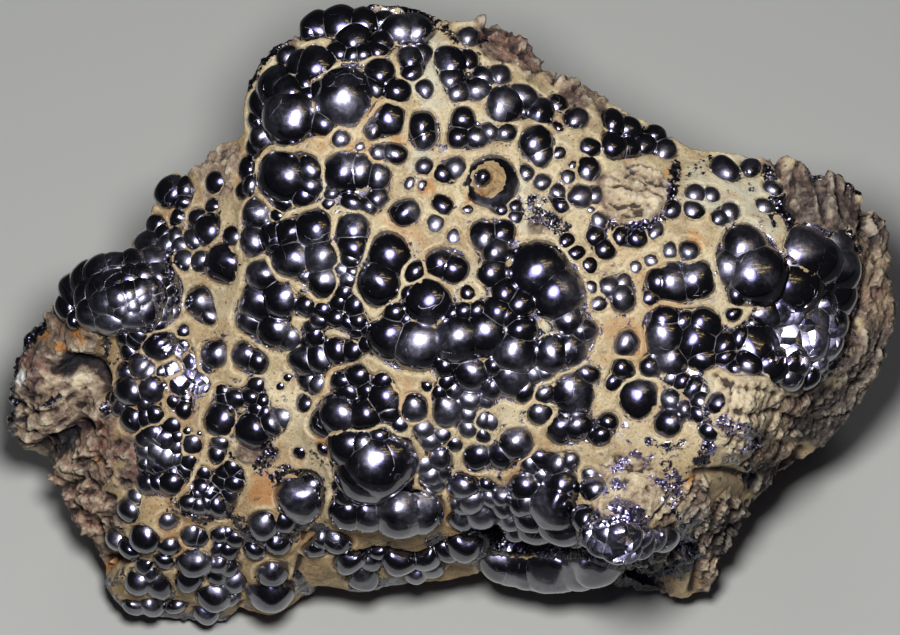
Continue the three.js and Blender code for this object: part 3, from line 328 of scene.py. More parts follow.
# Swells of the crust under the lobes, domes with a sharp foot:
# [u, v, half length, half width, turn in degrees, height].
SWELLS = [
    [-51, -35.5, 6, 5.6, 0, 1.8], [-52, -45, 5.5, 4.2, -15, 1.5], [-43.2, -42, 5.6, 5.8, 0, 1.8],
    [-38.8, -46.8, 4.6, 3.6, 20, 1.6], [-42.4, -30.6, 4.8, 3.4, 0, 1.4],
    [-31.6, -34.4, 5, 4.6, 10, 2], [-30, -45, 4.3, 5.2, 0, 2.4], [-25, -30.5, 2.4, 5, -35, 1.5],
    [-20, -39.6, 5.2, 3.4, 35, 1.6], [-13.5, -44, 4.5, 2.4, 20, 1.2],
    [-15.6, -32, 6.4, 3.7, -4, 1.8], [-6.5, -34, 5, 4.4, 0, 1.4], [-7, -41.6, 6, 3.2, 0, 1.2],
    [3, -38.4, 5.2, 3.4, 0, 1.2], [3.6, -31.5, 2.8, 5.4, 25, 1.3], [9, -32.6, 2.6, 4.6, 22, 1.4],
    [12.7, -32.4, 2.8, 5, 12, 1.6], [17.4, -31.6, 3.6, 5.4, 0, 1.8],
    [28.4, -33.4, 7.9, 7.4, 0, 3.4], [9.5, -40.6, 4.2, 2.1, 0, 1],
    [16.5, -43.4, 9.6, 1.9, -2, 1.1], [39.6, -32.6, 6, 3, 28, 1.5],
    [42.6, -40.5, 2.2, 7.6, -18, 1.6], [30.6, 20.4, 6, 5.2, 0, 1.3], [-39.5, 25, 4.2, 5, 0, 1.2],
    [-61, -10.3, 2.3, 1.7, 0, 1.1], [-62, -31, 4.6, 7.5, 12, 1.2], [-65.2, -25.6, 2.6, 2.4, 0, 1],
    [-55.5, 4.5, 9.5, 7.6, 20, 1.6], [48, -15.5, 6.5, 4, -8, 1.2], [56.5, -14.4, 4, 3, -20, 1],
    [62.4, 18.4, 3.6, 6.4, 14, 1.4], [66.6, 15, 2.6, 6, 20, 1.2], [-12.5, -25.6, 6.4, 5.8, 0, 0.8],
    [-66.4, -14.8, 6.6, 2, 32, 1.3], [-67.4, -19.2, 6.4, 1.7, 30, 1],
]

# Patches of broken rock on the face: [u, v, radius].
ROCK = [
    [30.5, 20.5, 5.6], [-39, 25, 4.8], [-66, -6, 7.5], [-70, -16, 8], [-64, -24, 8.5],
    [-61, -33, 6.5], [-60, -10, 3.2], [-60, -17, 5], [-59, -40, 3], [-64, 0, 2.2], [-32, -22, 3],
    [49, -16, 6.4], [54, -15, 5.6], [59, -13, 4.6], [62, 19, 6], [58.5, 23, 3.4], [70.4, 10, 4.8],
    [70.4, 3, 5], [70, 16, 4], [71, -4, 5.4], [68, -9, 4.2], [63, -16, 6], [54, -26, 6],
    [47, -36, 7], [44, -42, 4], [8, 46.5, 4], [14, 43, 3.4], [21, 37.2, 3.4], [-27, 46.8, 1.8],
    [9, -40.4, 2.6], [33, -43, 4.6], [38, -40.5, 4], [30, -29, 6], [34, -31, 4], [40, -31, 4],
    [-30.5, -36, 2], [16, 16, 2], [4.6, 49.4, 2.2], [11, 45, 3], [17.6, 40.6, 2.8],
    [25.4, 34.8, 1.8], [30.5, 32.6, 1.2], [54.4, 26.6, 2.6], [-54.6, -22, 2.6], [-54, -26.5, 2.2],
]

# Stains in the rock, with painted shade and glints: [u, v, radius, tone from -1 dark to 1 pale,
# warmth from -1 grey to 1 red].
STAINS_SHADE_AND_GLINTS = [
    # painted highlight: the two entries of tone 1.2 and warmth -0.8 here are white glints on the
    # hook's edge
    [-69.5, -8.5, 2.6, -0.5, 1], [-71.2, -10, 1.5, 1.2, -0.8], [-70.8, -14.2, 1.3, 1.2, -0.8],
    # painted shade: the tone -1 entries at (-64, -7.8), (-60.4, -7.2) and (-58.4, -9) darken the
    # pit under the arch
    [-62, -5.2, 2.2, 0.5, 0], [-64, -7.8, 2.3, -1, 0], [-60.4, -7.2, 1.7, -1, 0],
    [-58.4, -9, 1, -1, 0], [-61, -10.4, 2, 0.9, 0], [-66.5, -10.5, 1.6, 0.7, 0.1],
    [-65, -14, 2, 0.5, 0.1], [-69.5, -16.5, 3, 0.5, 0.1], [-72.5, -17, 1.4, -1, -0.4],
    [-59.5, -20, 4.5, 0.3, 0.9], [-62, -32, 5.5, 0.5, 0.9], [-64.5, -25, 3, 0.7, 0.5],
    # painted shade: the tone -1 entry at (-66, -21.5) darkens the hollow under the hook
    [-66, -21.5, 2.4, -1, 0], [-57, -26, 2.4, 0.3, 0.6], [63, 18.5, 5.6, -0.3, -0.2],
    [58, 22, 2.4, -0.4, 0], [70.5, 5, 3.4, 0.5, 0.5], [70.5, 9.5, 1.6, 0.7, 0.4],
    [72, 14.5, 3, -0.3, -0.2], [72, -5, 4, -0.3, -0.4], [66, -11, 5, -0.3, -0.4],
    [62, -18, 6, -0.4, -0.5], [52, -29, 5, -0.6, -0.4], [46, -36, 4, -0.7, -0.5],
    [43.2, -41, 1.5, 0.8, 0.5], [49, -12.5, 6.4, 1.3, 0.1], [46, -19, 4.4, 1.2, 0],
    [53.5, -17, 3, 0.8, 0.2], [57.5, -15, 2.4, 0.2, 0.3], [31, 21, 6, 1.0, 0],
    [-39, 25.4, 6, 0.5, -0.1], [9.4, -40.6, 3.6, -0.4, 0.3], [30, -28.5, 7, 0.9, 0.1],
    # painted shade: the tone -1 entries from (8, -37) to (37, -42) darken the front hollow under
    # the lobes
    [38, -28, 4, 0.8, 0.1], [40, -33, 3, 0.6, -0.5], [8, -37, 3, -1, -0.6],
    [13, -38.4, 3, -1, -0.6], [20.6, -40.6, 2, -1, -0.7], [31, -44, 4.4, -1, -0.6],
    [37, -42, 3, -0.9, -0.9], [26, -43, 2, -1, -0.6], [10, 45, 6, -0.3, 0.5],
    [18, 39.4, 4, -0.2, 0.3], [-54.4, -23, 3.4, -0.1, 0.6],
]

# Ochre and rust stains: [u, v, radius].
OCHRE = [
    [-67.4, -3.3, 1.4], [-65, -5, 0.8], [-62.4, -2.2, 1], [-64.5, -2.4, 0.7], [-59.5, -24, 0.9],
    [-30.5, -28.6, 3], [-56.5, -41.5, 1.2], [-49, -24.5, 1], [-30.6, -34.4, 0.7],
    [-25.5, -28.2, 0.6], [36.2, 23.8, 0.8], [-4, 21.5, 1.6], [-24, -9.5, 1.8], [-21, -20.5, 2],
    [30, 26.8, 1.2], [40, -26.6, 1], [4.2, 20, 1.4], [-34, -18.5, 1.6], [41, 12.8, 1.3],
    [22, -16.4, 1], [46.4, 19.6, 1], [-8.6, 29.8, 1.4],
]

# Grey-white bloom on the crust and on the lobes in it: [u, v, radius].
PALE = [
    [48, 19.5, 5], [43, 22, 4.4], [52.5, 15, 3], [56.6, 12.6, 1.8], [47, 24.6, 4], [-3, 42.5, 3.4],
    [-3, 37, 3.4], [-4, 26, 2], [13, 17, 3], [11, 21, 2], [-20, 21, 1.6], [44, -12, 2],
    [-36, 33, 1.6],
]

# Where the lobes are broken up in bright flats: [u, v, radius].
BRIGHT = [
    [25, -37.4, 3], [29, -37.6, 4], [32.6, -37.2, 3], [60.5, -2.5, 5.4], [56.6, -3.6, 3.4],
    [-44, -9, 4],
]

# Where the black hematite is bare: half width, how solid it is from 0 speckled to 2, then the
# points (u, v) that it runs through.
BARE = [
    (1.2, 2, [(52.6, 24.6), (54.2, 21.4), (55.4, 18), (57, 14.5)]),
    (2.2, 2, [(66, 12.5), (66.6, 8), (66.2, 2), (64.6, -3.6), (62, -8)]),
    (3.4, 2, [(55.5, 5), (58.5, 2), (60, -3)]),
    (0.5, 1, [(53, 19.6), (52.4, 18.2)]),
    (0.5, 1, [(53.2, 16.6), (53.9, 14.8)]),
    (1.8, 2, [(-74, -19), (-74, -12), (-73, -8), (-71, -4.5), (-68.5, -1)]),
    (0.6, 2, [(-57.6, -3.2), (-57.2, -8), (-56.9, -12.4), (-57, -16)]),
    (0.5, 2, [(-67.4, -14.6), (-66.3, -13.6), (-65.4, -12.9)]),
    (1.0, 2, [(37.4, 25), (37.2, 22), (36.4, 19), (34.8, 16.2), (31, 14.7), (27.5, 14.9),
      (25.2, 16.4)]),
    (2.3, 2, [(4, -36.6), (8, -37.2), (13, -38), (19, -39), (24, -40.6)]),
    (2.6, 2, [(27, -42.8), (32, -42.4), (37, -42.8)]),
    (2.4, 2, [(-2, -38), (3, -39), (5, -38)]),
    (2.2, 2, [(36.4, -36.4), (39.4, -37.4), (40, -40)]),
    (1.6, 2, [(22.4, -37), (25, -39), (28.5, -39.8), (32, -39.4), (34.4, -37.6)]),
    (1.7, 2, [(28, -31.4), (30.4, -32.8), (31.6, -34.4), (29.6, -35)]),
    (1.2, 1, [(24, -33), (25.6, -35.4)]),
    (1.0, 1, [(26, -29), (28, -28)]),
    (0.9, 1, [(27.4, -25.4), (29, -24)]),
    (1.3, 1, [(36.2, -24.6), (37.8, -27), (37.4, -29.6)]),
    (1.0, 1, [(33.6, -26.6), (35.4, -28.4)]),
    (1.1, 2, [(36, -35.6), (38.6, -35), (40.4, -33.6)]),
    (0.6, 2, [(34.6, -30.2), (36.6, -31.6), (37.6, -33.6)]),
    (0.8, 1, [(30.5, -22.5), (33, -23.6)]),
    (1.4, 1, [(41.4, -14.4), (42.6, -17.4), (43.4, -20.6), (41.8, -24)]),
    (1.2, 1, [(45.5, -17.4), (48.5, -18.8), (52, -19.8), (49, -21.8)]),
    (0.9, 0.6, [(46, -23.5), (50, -24.4)]),
    (1.4, 1, [(13.4, 17.6), (16, 16.4), (18.8, 14.8)]),
    (0.9, 1, [(15.4, 20), (13.2, 19)]),
    (1.0, 1, [(20.6, 33.8), (21.8, 33.2)]),
    (1.2, 1, [(-34.6, -18.4), (-32, -20.6), (-29.6, -22), (-31.6, -24.4)]),
    (1.6, 1, [(-27.8, -25.8), (-25.4, -27), (-23.4, -29)]),
    (1.2, 1, [(-36.6, -33), (-34.6, -34), (-32, -37.4), (-28.4, -38)]),
    (1.0, 2, [(-34, -36.8), (-30, -37.8), (-26.4, -36.4), (-24, -34)]),
    (0.9, 2, [(-57, -46), (-54.4, -49), (-49, -49.4), (-44, -50), (-38, -50.4)]),
    (0.8, 2, [(-50.4, -48.2), (-46.6, -46.4)]),
    (0.7, 1, [(-47, -28.8), (-44.4, -32.4), (-41, -33.8), (-37.6, -33)]),
    (1.1, 2, [(-22.4, -34.8), (-20.8, -35), (-20.6, -38)]),
    (1.3, 2, [(-18, -41.6), (-14.6, -40), (-12.6, -38.6)]),
    (1.4, 2, [(-15.6, -45.4), (-12, -45), (-9, -44)]),
    (1.2, 2, [(-25.4, -43.6), (-24, -45.6)]),
    (1.3, 2, [(-31.4, -42.8), (-28.6, -41.8)]),
    (0.7, 1, [(59.5, 24.2), (62, 23.8), (66, 22.2), (68.2, 20.6)]),
    (0.8, 1, [(2.6, 47.4), (5.4, 46)]),
    (0.8, 1, [(33, -20.4), (35.6, -21.6), (38.6, -21)]),
    (0.7, 1, [(-56.8, -44.4), (-53.4, -42.4)]),
    (0.9, 2, [(-47.4, 9.2), (-50.4, 11.4), (-54, 11)]),
    (1.3, 1.4, [(-34.4, 38), (-31, 43.4), (-26.6, 47.6), (-21, 50.8), (-14, 52.4), (-8, 52),
      (-3.4, 50)]),
    (0.8, 1, [(-2, 48.6), (0.4, 47), (0.8, 44.8)]),
]

# Cracks and hollows: width and depth in mm, then the points (u, v) that each runs through.
CRACKS = [
    (1.6, 4.5, [(-61.5, -18.6), (-64, -20.4), (-67, -22.3), (-70, -23.6)]),
    (1.3, 4.0, [(-66, -8.6), (-62.5, -7.2), (-59, -8), (-57.6, -11.2)]),
    (0.5, 1.1, [(-55.5, -30.5), (-58.5, -29), (-61.5, -26.8), (-63.5, -26.4)]),
    (0.6, 1.3, [(-66.5, -28.6), (-63.5, -28.2), (-61.5, -27)]),
    (0.5, 0.9, [(-72, -14), (-69.5, -16), (-66, -15.2), (-63, -12.6), (-61, -11.8)]),
    (0.5, 0.9, [(-71.5, -18), (-68, -19.4), (-64.5, -17.4), (-61.5, -14.6)]),
    (0.5, 0.9, [(-64.8, -33.4), (-61.5, -31.6), (-59, -33.6), (-58, -37)]),
    (0.6, 1.6, [(54, 27), (55.4, 22), (56.8, 18), (58.8, 14.8)]),
    (0.5, 1.1, [(60.2, 25), (61.2, 21), (62.2, 17), (62.4, 14)]),
    (0.5, 0.9, [(63.8, 22), (64.5, 19), (66.5, 15)]),
    (0.8, 1.8, [(69.6, 19), (69.2, 15), (68.4, 12), (68.6, 8), (68.2, 2), (66.6, -4)]),
    (0.5, 0.9, [(44, -9.4), (47, -11.4), (52, -12), (57, -13.4), (60, -12.4)]),
    (0.5, 0.9, [(42.5, -16.2), (46, -15), (50, -16.4), (54, -15.4), (58, -16.6)]),
    (0.8, 1.5, [(41, -26), (46, -25.6), (50, -26.8), (54, -24.6), (59, -22)]),
    (0.4, 0.6, [(26, 23.4), (28.4, 23), (30.4, 24.4), (33.6, 23), (35.6, 21.6)]),
    (0.35, 0.9, [(25.8, 19.4), (28, 18.2), (30, 18.8), (33.4, 18.6)]),
    (0.3, 0.8, [(25.6, 21.6), (28.6, 22), (31, 20.8), (33, 21.2), (36, 19.4)]),
    (0.3, 0.8, [(29.5, 25), (31, 25.6), (33.6, 24.8)]),
    (1.9, 4.5, [(25.5, -42.6), (30, -43), (37, -43.6)]),
    (1.9, 5.0, [(4, -36.4), (8, -36.8), (14, -38.2), (20, -40), (24, -41.6)]),
    (0.7, 1.5, [(5.6, -41.2), (9, -42.6), (15, -41.6)]),
    (0.7, 1.4, [(36.4, -38), (40, -38), (41.4, -42), (40.4, -46)]),
    (0.6, 1.3, [(-36.5, -40), (-35, -44), (-35.4, -48)]),
    (0.6, 1.2, [(-24.4, -36), (-25, -40), (-26.2, -44)]),
    (0.6, 1.2, [(-57, -40), (-52, -40.8), (-47.4, -40), (-45.6, -37)]),
    (0.5, 1.0, [(-10.4, -38), (-10.4, -42)]),
]
FACE_TURN = np.array([
    [1, 0, 0],
    [0, math.cos(FACE_LEAN), -math.sin(FACE_LEAN)],
    [0, math.sin(FACE_LEAN), math.cos(FACE_LEAN)],
])


def from_face(uvw):
    """Face coordinates in mm to the model's frame in mm."""
    return uvw @ FACE_TURN.T + FACE_ORIGIN


def to_face(xyz):
    return (xyz - FACE_ORIGIN) @ FACE_TURN


def ramp(x, low, high):
    """From 0 at low to 1 at high, level at both ends."""
    t = np.clip((x - low) / (high - low), 0, 1)
    return t * t * (3 - 2 * t)


# ------------------------------------------------------------------ the crust's relief

def surface_through(points):
    """The smooth surface through every point of the relief, as a function of (u, v)."""
    p = np.array(points, float)

    def reach(uv):
        d = uv[:, None, :] - p[None, :, :2]
        return np.sqrt((d ** 2).sum(2) + CRUST_SOFTNESS ** 2)

    n = len(p)
    system = np.ones((n + 1, n + 1))
    system[:n, :n] = reach(p[:, :2])
    system[n, n] = 0
    weights = np.linalg.solve(system, np.append(p[:, 2], 0))

    def height(uv):
        parts = [reach(chunk) @ weights[:n] for chunk in np.array_split(uv, len(uv) // 4000 + 1)]
        return np.concatenate(parts) + weights[n]

    return height


relief = surface_through(RELIEF)


def swell(uv):
    """How far the swells stand out of the relief at each (u, v)."""
    out = np.zeros(len(uv))
    for u, v, length, width, turn, height in SWELLS:
        x, y = (uv - (u, v)).T
        c, s = math.cos(math.radians(turn)), math.sin(math.radians(turn))
        inside = 1 - ((c * x + s * y) / length) ** 2 - ((c * y - s * x) / width) ** 2
        out = np.maximum(out, height * np.clip(inside, 0, 1) ** 0.6)
    return out


def crust(uv):
    return relief(uv) + swell(uv)


def crust_normal(uv):
    steps = SLOPE_STEP * np.eye(2)
    slopes = [(crust(uv + step) - crust(uv - step)) / (2 * SLOPE_STEP) for step in steps]
    normal = np.column_stack([-slopes[0], -slopes[1], np.ones(len(uv))])
    return normal / np.linalg.norm(normal, axis=1)[:, None]


# ------------------------------------------------------------------ where the lobes are

def lobe_balls(lobes):
    """Each lobe's ball: its centre in face coordinates, its radius, and which way is out.

    On a steep stretch of crust a lobe stands out further and sits higher up, so that from straight
    above the face it shows round, where it is listed.
    """
    width = lobes[:, 2]
    flat = round_patches(lobes[:, :2], FLAT, 1.0)
    small = 1 - ramp(width, *SMALL_LOBE)
    share = np.array([(1 - flat) * (1 - small), flat * (1 - small), small])
    foot = width * (LOBE_SPREAD @ share)
    uneven = 1 + 0.12 * np.sin(7 * lobes[:, 0] + 5 * lobes[:, 1])
    rise = width * (LOBE_RISE @ share) * uneven
    radius = (foot ** 2 + rise ** 2) / (2 * rise)
    normal = crust_normal(lobes[:, :2])
    lean = (1 - normal[:, 2]) * (1 - 0.4 * flat)
    steepness = np.linalg.norm(normal[:, :2], axis=1)
    uphill = -normal[:, :2] / np.maximum(steepness, 1e-6)[:, None]
    uv = lobes[:, :2] + uphill * (0.4 * lean * radius)[:, None]
    foot = np.column_stack([uv, crust(uv)])
    depth = (radius - rise) * np.clip(1 - 1.5 * lean, 0, 1)
    return foot - normal * depth[:, None], radius, normal


def clusters(lobes):
    """The cluster that each lobe is in, as a number: lobes that are in each other share one."""
    across = np.hypot(*(lobes[:, None, :2] - lobes[None, :, :2]).transpose(2, 0, 1))
    radius = lobes[:, 2]
    smaller = np.minimum(radius[:, None], radius)
    larger = np.maximum(radius[:, None], radius)
    overlap = np.interp(larger, OVERLAP_SIZE, OVERLAP) * smaller
    joined = across < radius[:, None] + radius - overlap
    cluster = np.arange(len(lobes))
    while True:
        lowest = np.where(joined, cluster, len(lobes)).min(axis=1)
        if (lowest == cluster).all():
            return cluster
        cluster = lowest


def bend(uv):
    """How far the growth is drawn aside at each (u, v), which takes the lobes out of round."""
    random = np.random.default_rng(BEND_SEED)
    aside = np.zeros_like(uv)
    lowest = (BEND_LENGTHS[0], 0, 0, 0)
    highest = (BEND_LENGTHS[1], math.pi, 2 * math.pi, 2 * math.pi)
    for _ in range(BEND_WAVES):
        length, heading, phase, toward = random.uniform(lowest, highest)
        along = uv @ (math.cos(heading), math.sin(heading))
        wave = BEND_SHARE * length * np.sin(2 * math.pi * along / length + phase)
        aside += wave[:, None] * (math.cos(toward), math.sin(toward))
    return aside


def on_relief(uvw, uv):
    """The points moved to (u, v), as far above the relief as they were."""
    return np.column_stack([uv, uvw[:, 2] + relief(uv) - relief(uvw[:, :2])])


def bent(uvw):
    """Where points of the even growth are once it is drawn aside."""
    return on_relief(uvw, uvw[:, :2] + bend(uvw[:, :2]))


def unbent(uvw):
    """The other way: the points of the even growth that bent() brings here."""
    uv = uvw[:, :2]
    for _ in range(8):
        uv = uvw[:, :2] - bend(uv)
    return on_relief(uvw, uv)


def near_lobes(points, centres, radii, far):
    """The points in chunks, each with the lobes near it and how far off each one's ball is."""
    order = np.argsort(points[:, 0])
    left, right = centres[:, 0] - radii, centres[:, 0] + radii
    for part in np.array_split(order, len(points) // 1200 + 1):
        p = points[part]
        near = np.flatnonzero((right > p[:, 0].min() - far) & (left < p[:, 0].max() + far))
        if len(near) > 1:
            away = np.linalg.norm(p[:, None] - centres[None, near], axis=2)
            yield part, near, away - radii[None, near]


def crust_gap(points, centres, radii, cluster, width):
    """How far the crust is from the lobes' edge, how high the wall between two clusters is there,
    and how large the lobes near it are, up to 1.

    In the notch between two lobes of one cluster the distance is less than 0.
    """
    edge, ridge, size = np.full(len(points), FAR), np.zeros(len(points)), np.ones(len(points))
    for part, near, gap in near_lobes(points, centres, radii, FAR):
        even = -MEETING * np.log(np.exp(-gap / MEETING).sum(axis=1) + 1e-9)
        edge[part] = np.minimum(even, FAR)
        weight = np.exp(-np.maximum(gap, -1.0) / CLOSE) + 1e-9
        size[part] = np.clip(weight @ width[near] / weight.sum(axis=1) / FULL_SIZE, 0.25, 1)
        first, second = np.argpartition(gap, 1, axis=1)[:, :2].T
        rows = np.arange(len(part))
        i, j = near[first], near[second]
        own = gap[rows, first]
        notch = NOTCH * np.minimum(radii[i], radii[j]) - own - gap[rows, second]
        one = cluster[i] == cluster[j]
        edge[part] = np.where(one, np.minimum(edge[part], -notch), edge[part])
        other = np.where(cluster[near] == cluster[i][:, None], FAR, gap)
        k = other.argmin(axis=1)
        other = other[rows, k]
        smaller = np.minimum(width[i], width[near[k]])
        scale = np.clip(smaller / FULL_SIZE, 0.3, 1)
        tight = 1 - ramp((own + other) / scale, *RIDGE_GAP)
        middle = 1 - ramp((other - own) / scale, *RIDGE_HALF)
        ridge[part] = tight * middle * np.clip(RIDGE_SHARE * smaller, 0.12, RIDGE)
    return edge, ridge, size


def seam_distance(points, centres, radii):
    """How far each point of a lobe is from the seam with the next, along the lobe's surface."""
    none = 5.0
    result = np.full(len(points), none)
    for part, near, gap in near_lobes(points, centres, radii, 2.0):
        out = (points[part][:, None] - centres[None, near]) / (gap + radii[near])[:, :, None]
        own = out[np.arange(len(part)), gap.argmin(axis=1)]
        cosine = np.einsum("pnk,pk->pn", out, own)
        sine = np.sqrt(np.clip(1 - cosine ** 2, 1e-6, 1))
        along = np.where(sine > SEAM_SINE, np.abs(gap) / sine, none)
        result[part] = np.minimum(result[part], along.min(axis=1))
    return result


def crust_push(gap, ridge, size):
    """How far the crust stands above its plain relief, from what crust_gap() says."""
    ditch = -DITCH_DEPTH * (1 - ramp(gap, -0.2, DITCH_WIDTH))
    wall = WALL_HEIGHT * ramp(gap, *WALL_RISE) * (1 - 0.6 * ramp(gap, *WALL_FALL))
    return np.maximum(size * (ditch + wall), np.where(ridge > 0.02, ridge, -9.0))


# ------------------------------------------------------------------ mesh helpers

def field(items, name, size=1, kind=float):
    """One field of all of a mesh's vertices, edges, loops or polygons, as an array."""
    values = np.empty(len(items) * size, kind)
    items.foreach_get(name, values)
    return values.reshape(-1, size) if size > 1 else values


def read_points(mesh):
    return field(mesh.vertices, "co", 3) / MM


def write_points(mesh, points):
    mesh.vertices.foreach_set("co", (points * MM).ravel())
    mesh.update()


def read_normals(mesh):
    return field(mesh.vertex_normals, "vector", 3, np.float32).astype(float)


def new_object(name, data):
    obj = bpy.data.objects.new(name, data)
    bpy.context.scene.collection.objects.link(obj)
    return obj


def mesh_object(name, points, faces):
    """A new object of points in mm and faces."""
    mesh = bpy.data.meshes.new(name)
    mesh.from_pydata((points * MM).tolist(), [], faces.tolist())
    return new_object(name, mesh)


def modified(obj, kind, **settings):
    """Changes the object's mesh by one modifier."""
    modifier = obj.modifiers.new(kind.lower(), kind)
    for key, value in settings.items():
        setattr(modifier, key, value)
    depsgraph = bpy.context.evaluated_depsgraph_get()
    mesh = bpy.data.meshes.new_from_object(obj.evaluated_get(depsgraph))
    obj.modifiers.clear()
    old = obj.data
    obj.data = mesh
    bpy.data.meshes.remove(old)


def boolean(obj, other, operation):
    modified(obj, "BOOLEAN", operation=operation, solver="MANIFOLD", object=other)
    bpy.data.objects.remove(other)


def set_attributes(mesh, **fields):
    for name, values in fields.items():
        attribute = mesh.attributes.new(name, "FLOAT", "POINT")
        attribute.data.foreach_set("value", np.asarray(values, np.float32))


def spread(mesh, values, times):
    """The values averaged over each vertex's neighbours, a number of times."""
    a, b = field(mesh.edges, "vertices", 2, np.int32).T
    n = len(values)
    count = np.bincount(a, minlength=n) + np.bincount(b, minlength=n) + 1
    for _ in range(times):
        around = np.bincount(a, values[b], n) + np.bincount(b, values[a], n)
        values = (values + around) / count
    return values


def fractal(points, size, octaves=4, seed=0.0):
    """Even noise of about -1 to 1 whose largest lumps are size mm across."""
    places = points / np.array(size) + np.array([17.3, 5.7, 11.9]) * (seed + 1)
    return np.array([noise.fractal(p, 1.0, 2.0, octaves) for p in places.tolist()])


noise.seed_set(FLATS_SEED)


def facets(points, size, seed=0.0):
    """Broken flats about size mm across, each at its own level and lean, of about -1 to 1."""
    level = np.empty(len(points))
    places = points / np.array(size) + np.array([3.1, 9.7, 6.3]) * (seed + 1)
    for i, p in enumerate(places.tolist()):
        centre = noise.voronoi(p)[1][0]
        lean = noise.noise_vector(centre * 5.7)
        level[i] = 1.5 * noise.noise(centre * 7.3) + 1.8 * lean.dot(Vector(p) - centre)
    return np.clip(level, -1.3, 1.3)


def layered(uvw):
    """Places along, across and under the rock's layers, which slant up on the left and are steep
    on the right."""
    u, v = uvw[:, 0], uvw[:, 1] + 0.5 * uvw[:, 2]
    turn = np.radians(28 * ramp(u, -10, -45) + 82 * ramp(u, 36, 58))
    c, s = np.cos(turn), np.sin(turn)
    return np.column_stack([c * u + s * v, c * v - s * u, uvw[:, 2]])


def route_distance(uv, route):
    """How far each (u, v) is from the line through the route's points."""
    nearest = np.full(len(uv), 1e3)
    for a, b in zip(np.array(route[:-1]), np.array(route[1:])):
        along = np.clip((uv - a) @ (b - a) / ((b - a) @ (b - a)), 0, 1)
        nearest = np.minimum(nearest, np.linalg.norm(uv - a - along[:, None] * (b - a), axis=1))
    return nearest


def crack_depth(uv):
    """How deep the cracks and hollows cut in at each (u, v)."""
    depth = np.zeros(len(uv))
    for width, deep, route in CRACKS:
        depth = np.maximum(depth, deep * np.exp(-(route_distance(uv, route) / width) ** 2))
    return depth


def bareness(uv):
    """How many mm a point is inside a bare patch, less than 0 outside."""
    inside = np.full(len(uv), -3.0)
    for width, solid, route in BARE:
        here = np.minimum(width - route_distance(uv, route), solid * 0.8 - 0.4)
        inside = np.maximum(inside, here)
    return inside


def depth_inside(uv, patches):
    """How many mm a point is inside the patches [u, v, radius], less than 0 outside."""
    inside = np.full(len(uv), -9.0)
    for u, v, radius in patches:
        inside = np.maximum(inside, radius - np.hypot(uv[:, 0] - u, uv[:, 1] - v))
    return inside


def round_patches(uv, patches, ragged):
    """1 inside the patches, 0 outside, with a border that is ragged by so many mm."""
    edge = ragged * fractal(np.column_stack([uv, np.zeros(len(uv))]), 3.0, 4, seed=12)
    return ramp(depth_inside(uv, patches) + edge, -0.5, 0.7)


def browning(uv):
    """How brown the crust is: more to the left and to the front."""
    return np.maximum(ramp(-uv[:, 0], 24, 46), ramp(-uv[:, 1], 12, 34))


# ------------------------------------------------------------------ the stone's body

def build_body():
    """The CAD solid without its lobes, evenly meshed, with its face on the crust's relief."""
    body = new_object("stone", NODE.data.copy())
    for voxel, ground, rise in zip(BODY_VOXELS, (relief, crust), (swell, None)):
        modified(body, "REMESH", mode="VOXEL", voxel_size=voxel * MM)
        uvw = to_face(read_points(body.data))
        below = ground(uvw[:, :2]) - uvw[:, 2]
        on_top = 1 - ramp(below, 1.2, 2.6)
        uvw[:, 2] += on_top * below
        if rise:
            uvw[:, 2] += on_top * rise(uvw[:, :2])
        write_points(body.data, from_face(uvw))
        modified(body, "SMOOTH", factor=0.5, iterations=2)
    return body


def rockiness(points, uvw, below):
    """1 on broken rock and on the flanks, 0 on the crust, with a ragged border."""
    ragged = 1.8 * fractal(points, 5.0, 4, seed=2)
    patch = ramp(depth_inside(uvw[:, :2], ROCK) + ragged, -0.4, 0.6)
    return np.maximum(patch, ramp(below + 0.6 * ragged, 2.2, 4.0))


def stains(points, uv):
    """How pale and how warm the rock's stains make it, with the painted shade and glints that the
    table also holds.
    """
    tone, warmth = np.zeros(len(uv)), np.zeros(len(uv))
    ragged = fractal(points, 3.0, 4, seed=12)
    for u, v, radius, shade, warm in STAINS_SHADE_AND_GLINTS:
        share = ramp(depth_inside(uv, [(u, v, radius)]) + 1.4 * ragged, -0.4, 0.9)
        tone += share * (shade - tone)
        warmth += share * (warm - warmth)
    return tone, warmth


def rock_height(points, uvw):
    """The height of broken rock at each place: lumps, flats, layers, chips and grit."""
    layers = layered(uvw)
    layers[:, 1] += 0.8 * fractal(points, 8.0, 2, seed=11)
    chipped = 0.55 - 0.25 * ramp(uvw[:, 0], 38, 56)
    return (
        0.7 * fractal(points, 11.0, 2, seed=1) + 1.0 * facets(layers, (8.0, 4.2, 5.0))
        + 0.35 * (1 - 1.6 * np.abs(fractal(layers, (12.0, 1.9, 9.0), 3, seed=5)))
        + chipped * facets(layers, (3.6, 1.7, 2.4), seed=3) + 0.34 * facets(points, 1.3, seed=6)
        + 0.12 * fractal(points, 1.0, 3, seed=7))


def druse_height(points, bare):
    """The height of the jagged black crystals where the rock is bare."""
    jagged = 0.2 * np.abs(fractal(points, 0.8, 2, seed=8))
    return ramp(bare, -0.6, 0.4) * (jagged + 0.3 * facets(points, (1.5, 2.6, 2.6), seed=4))


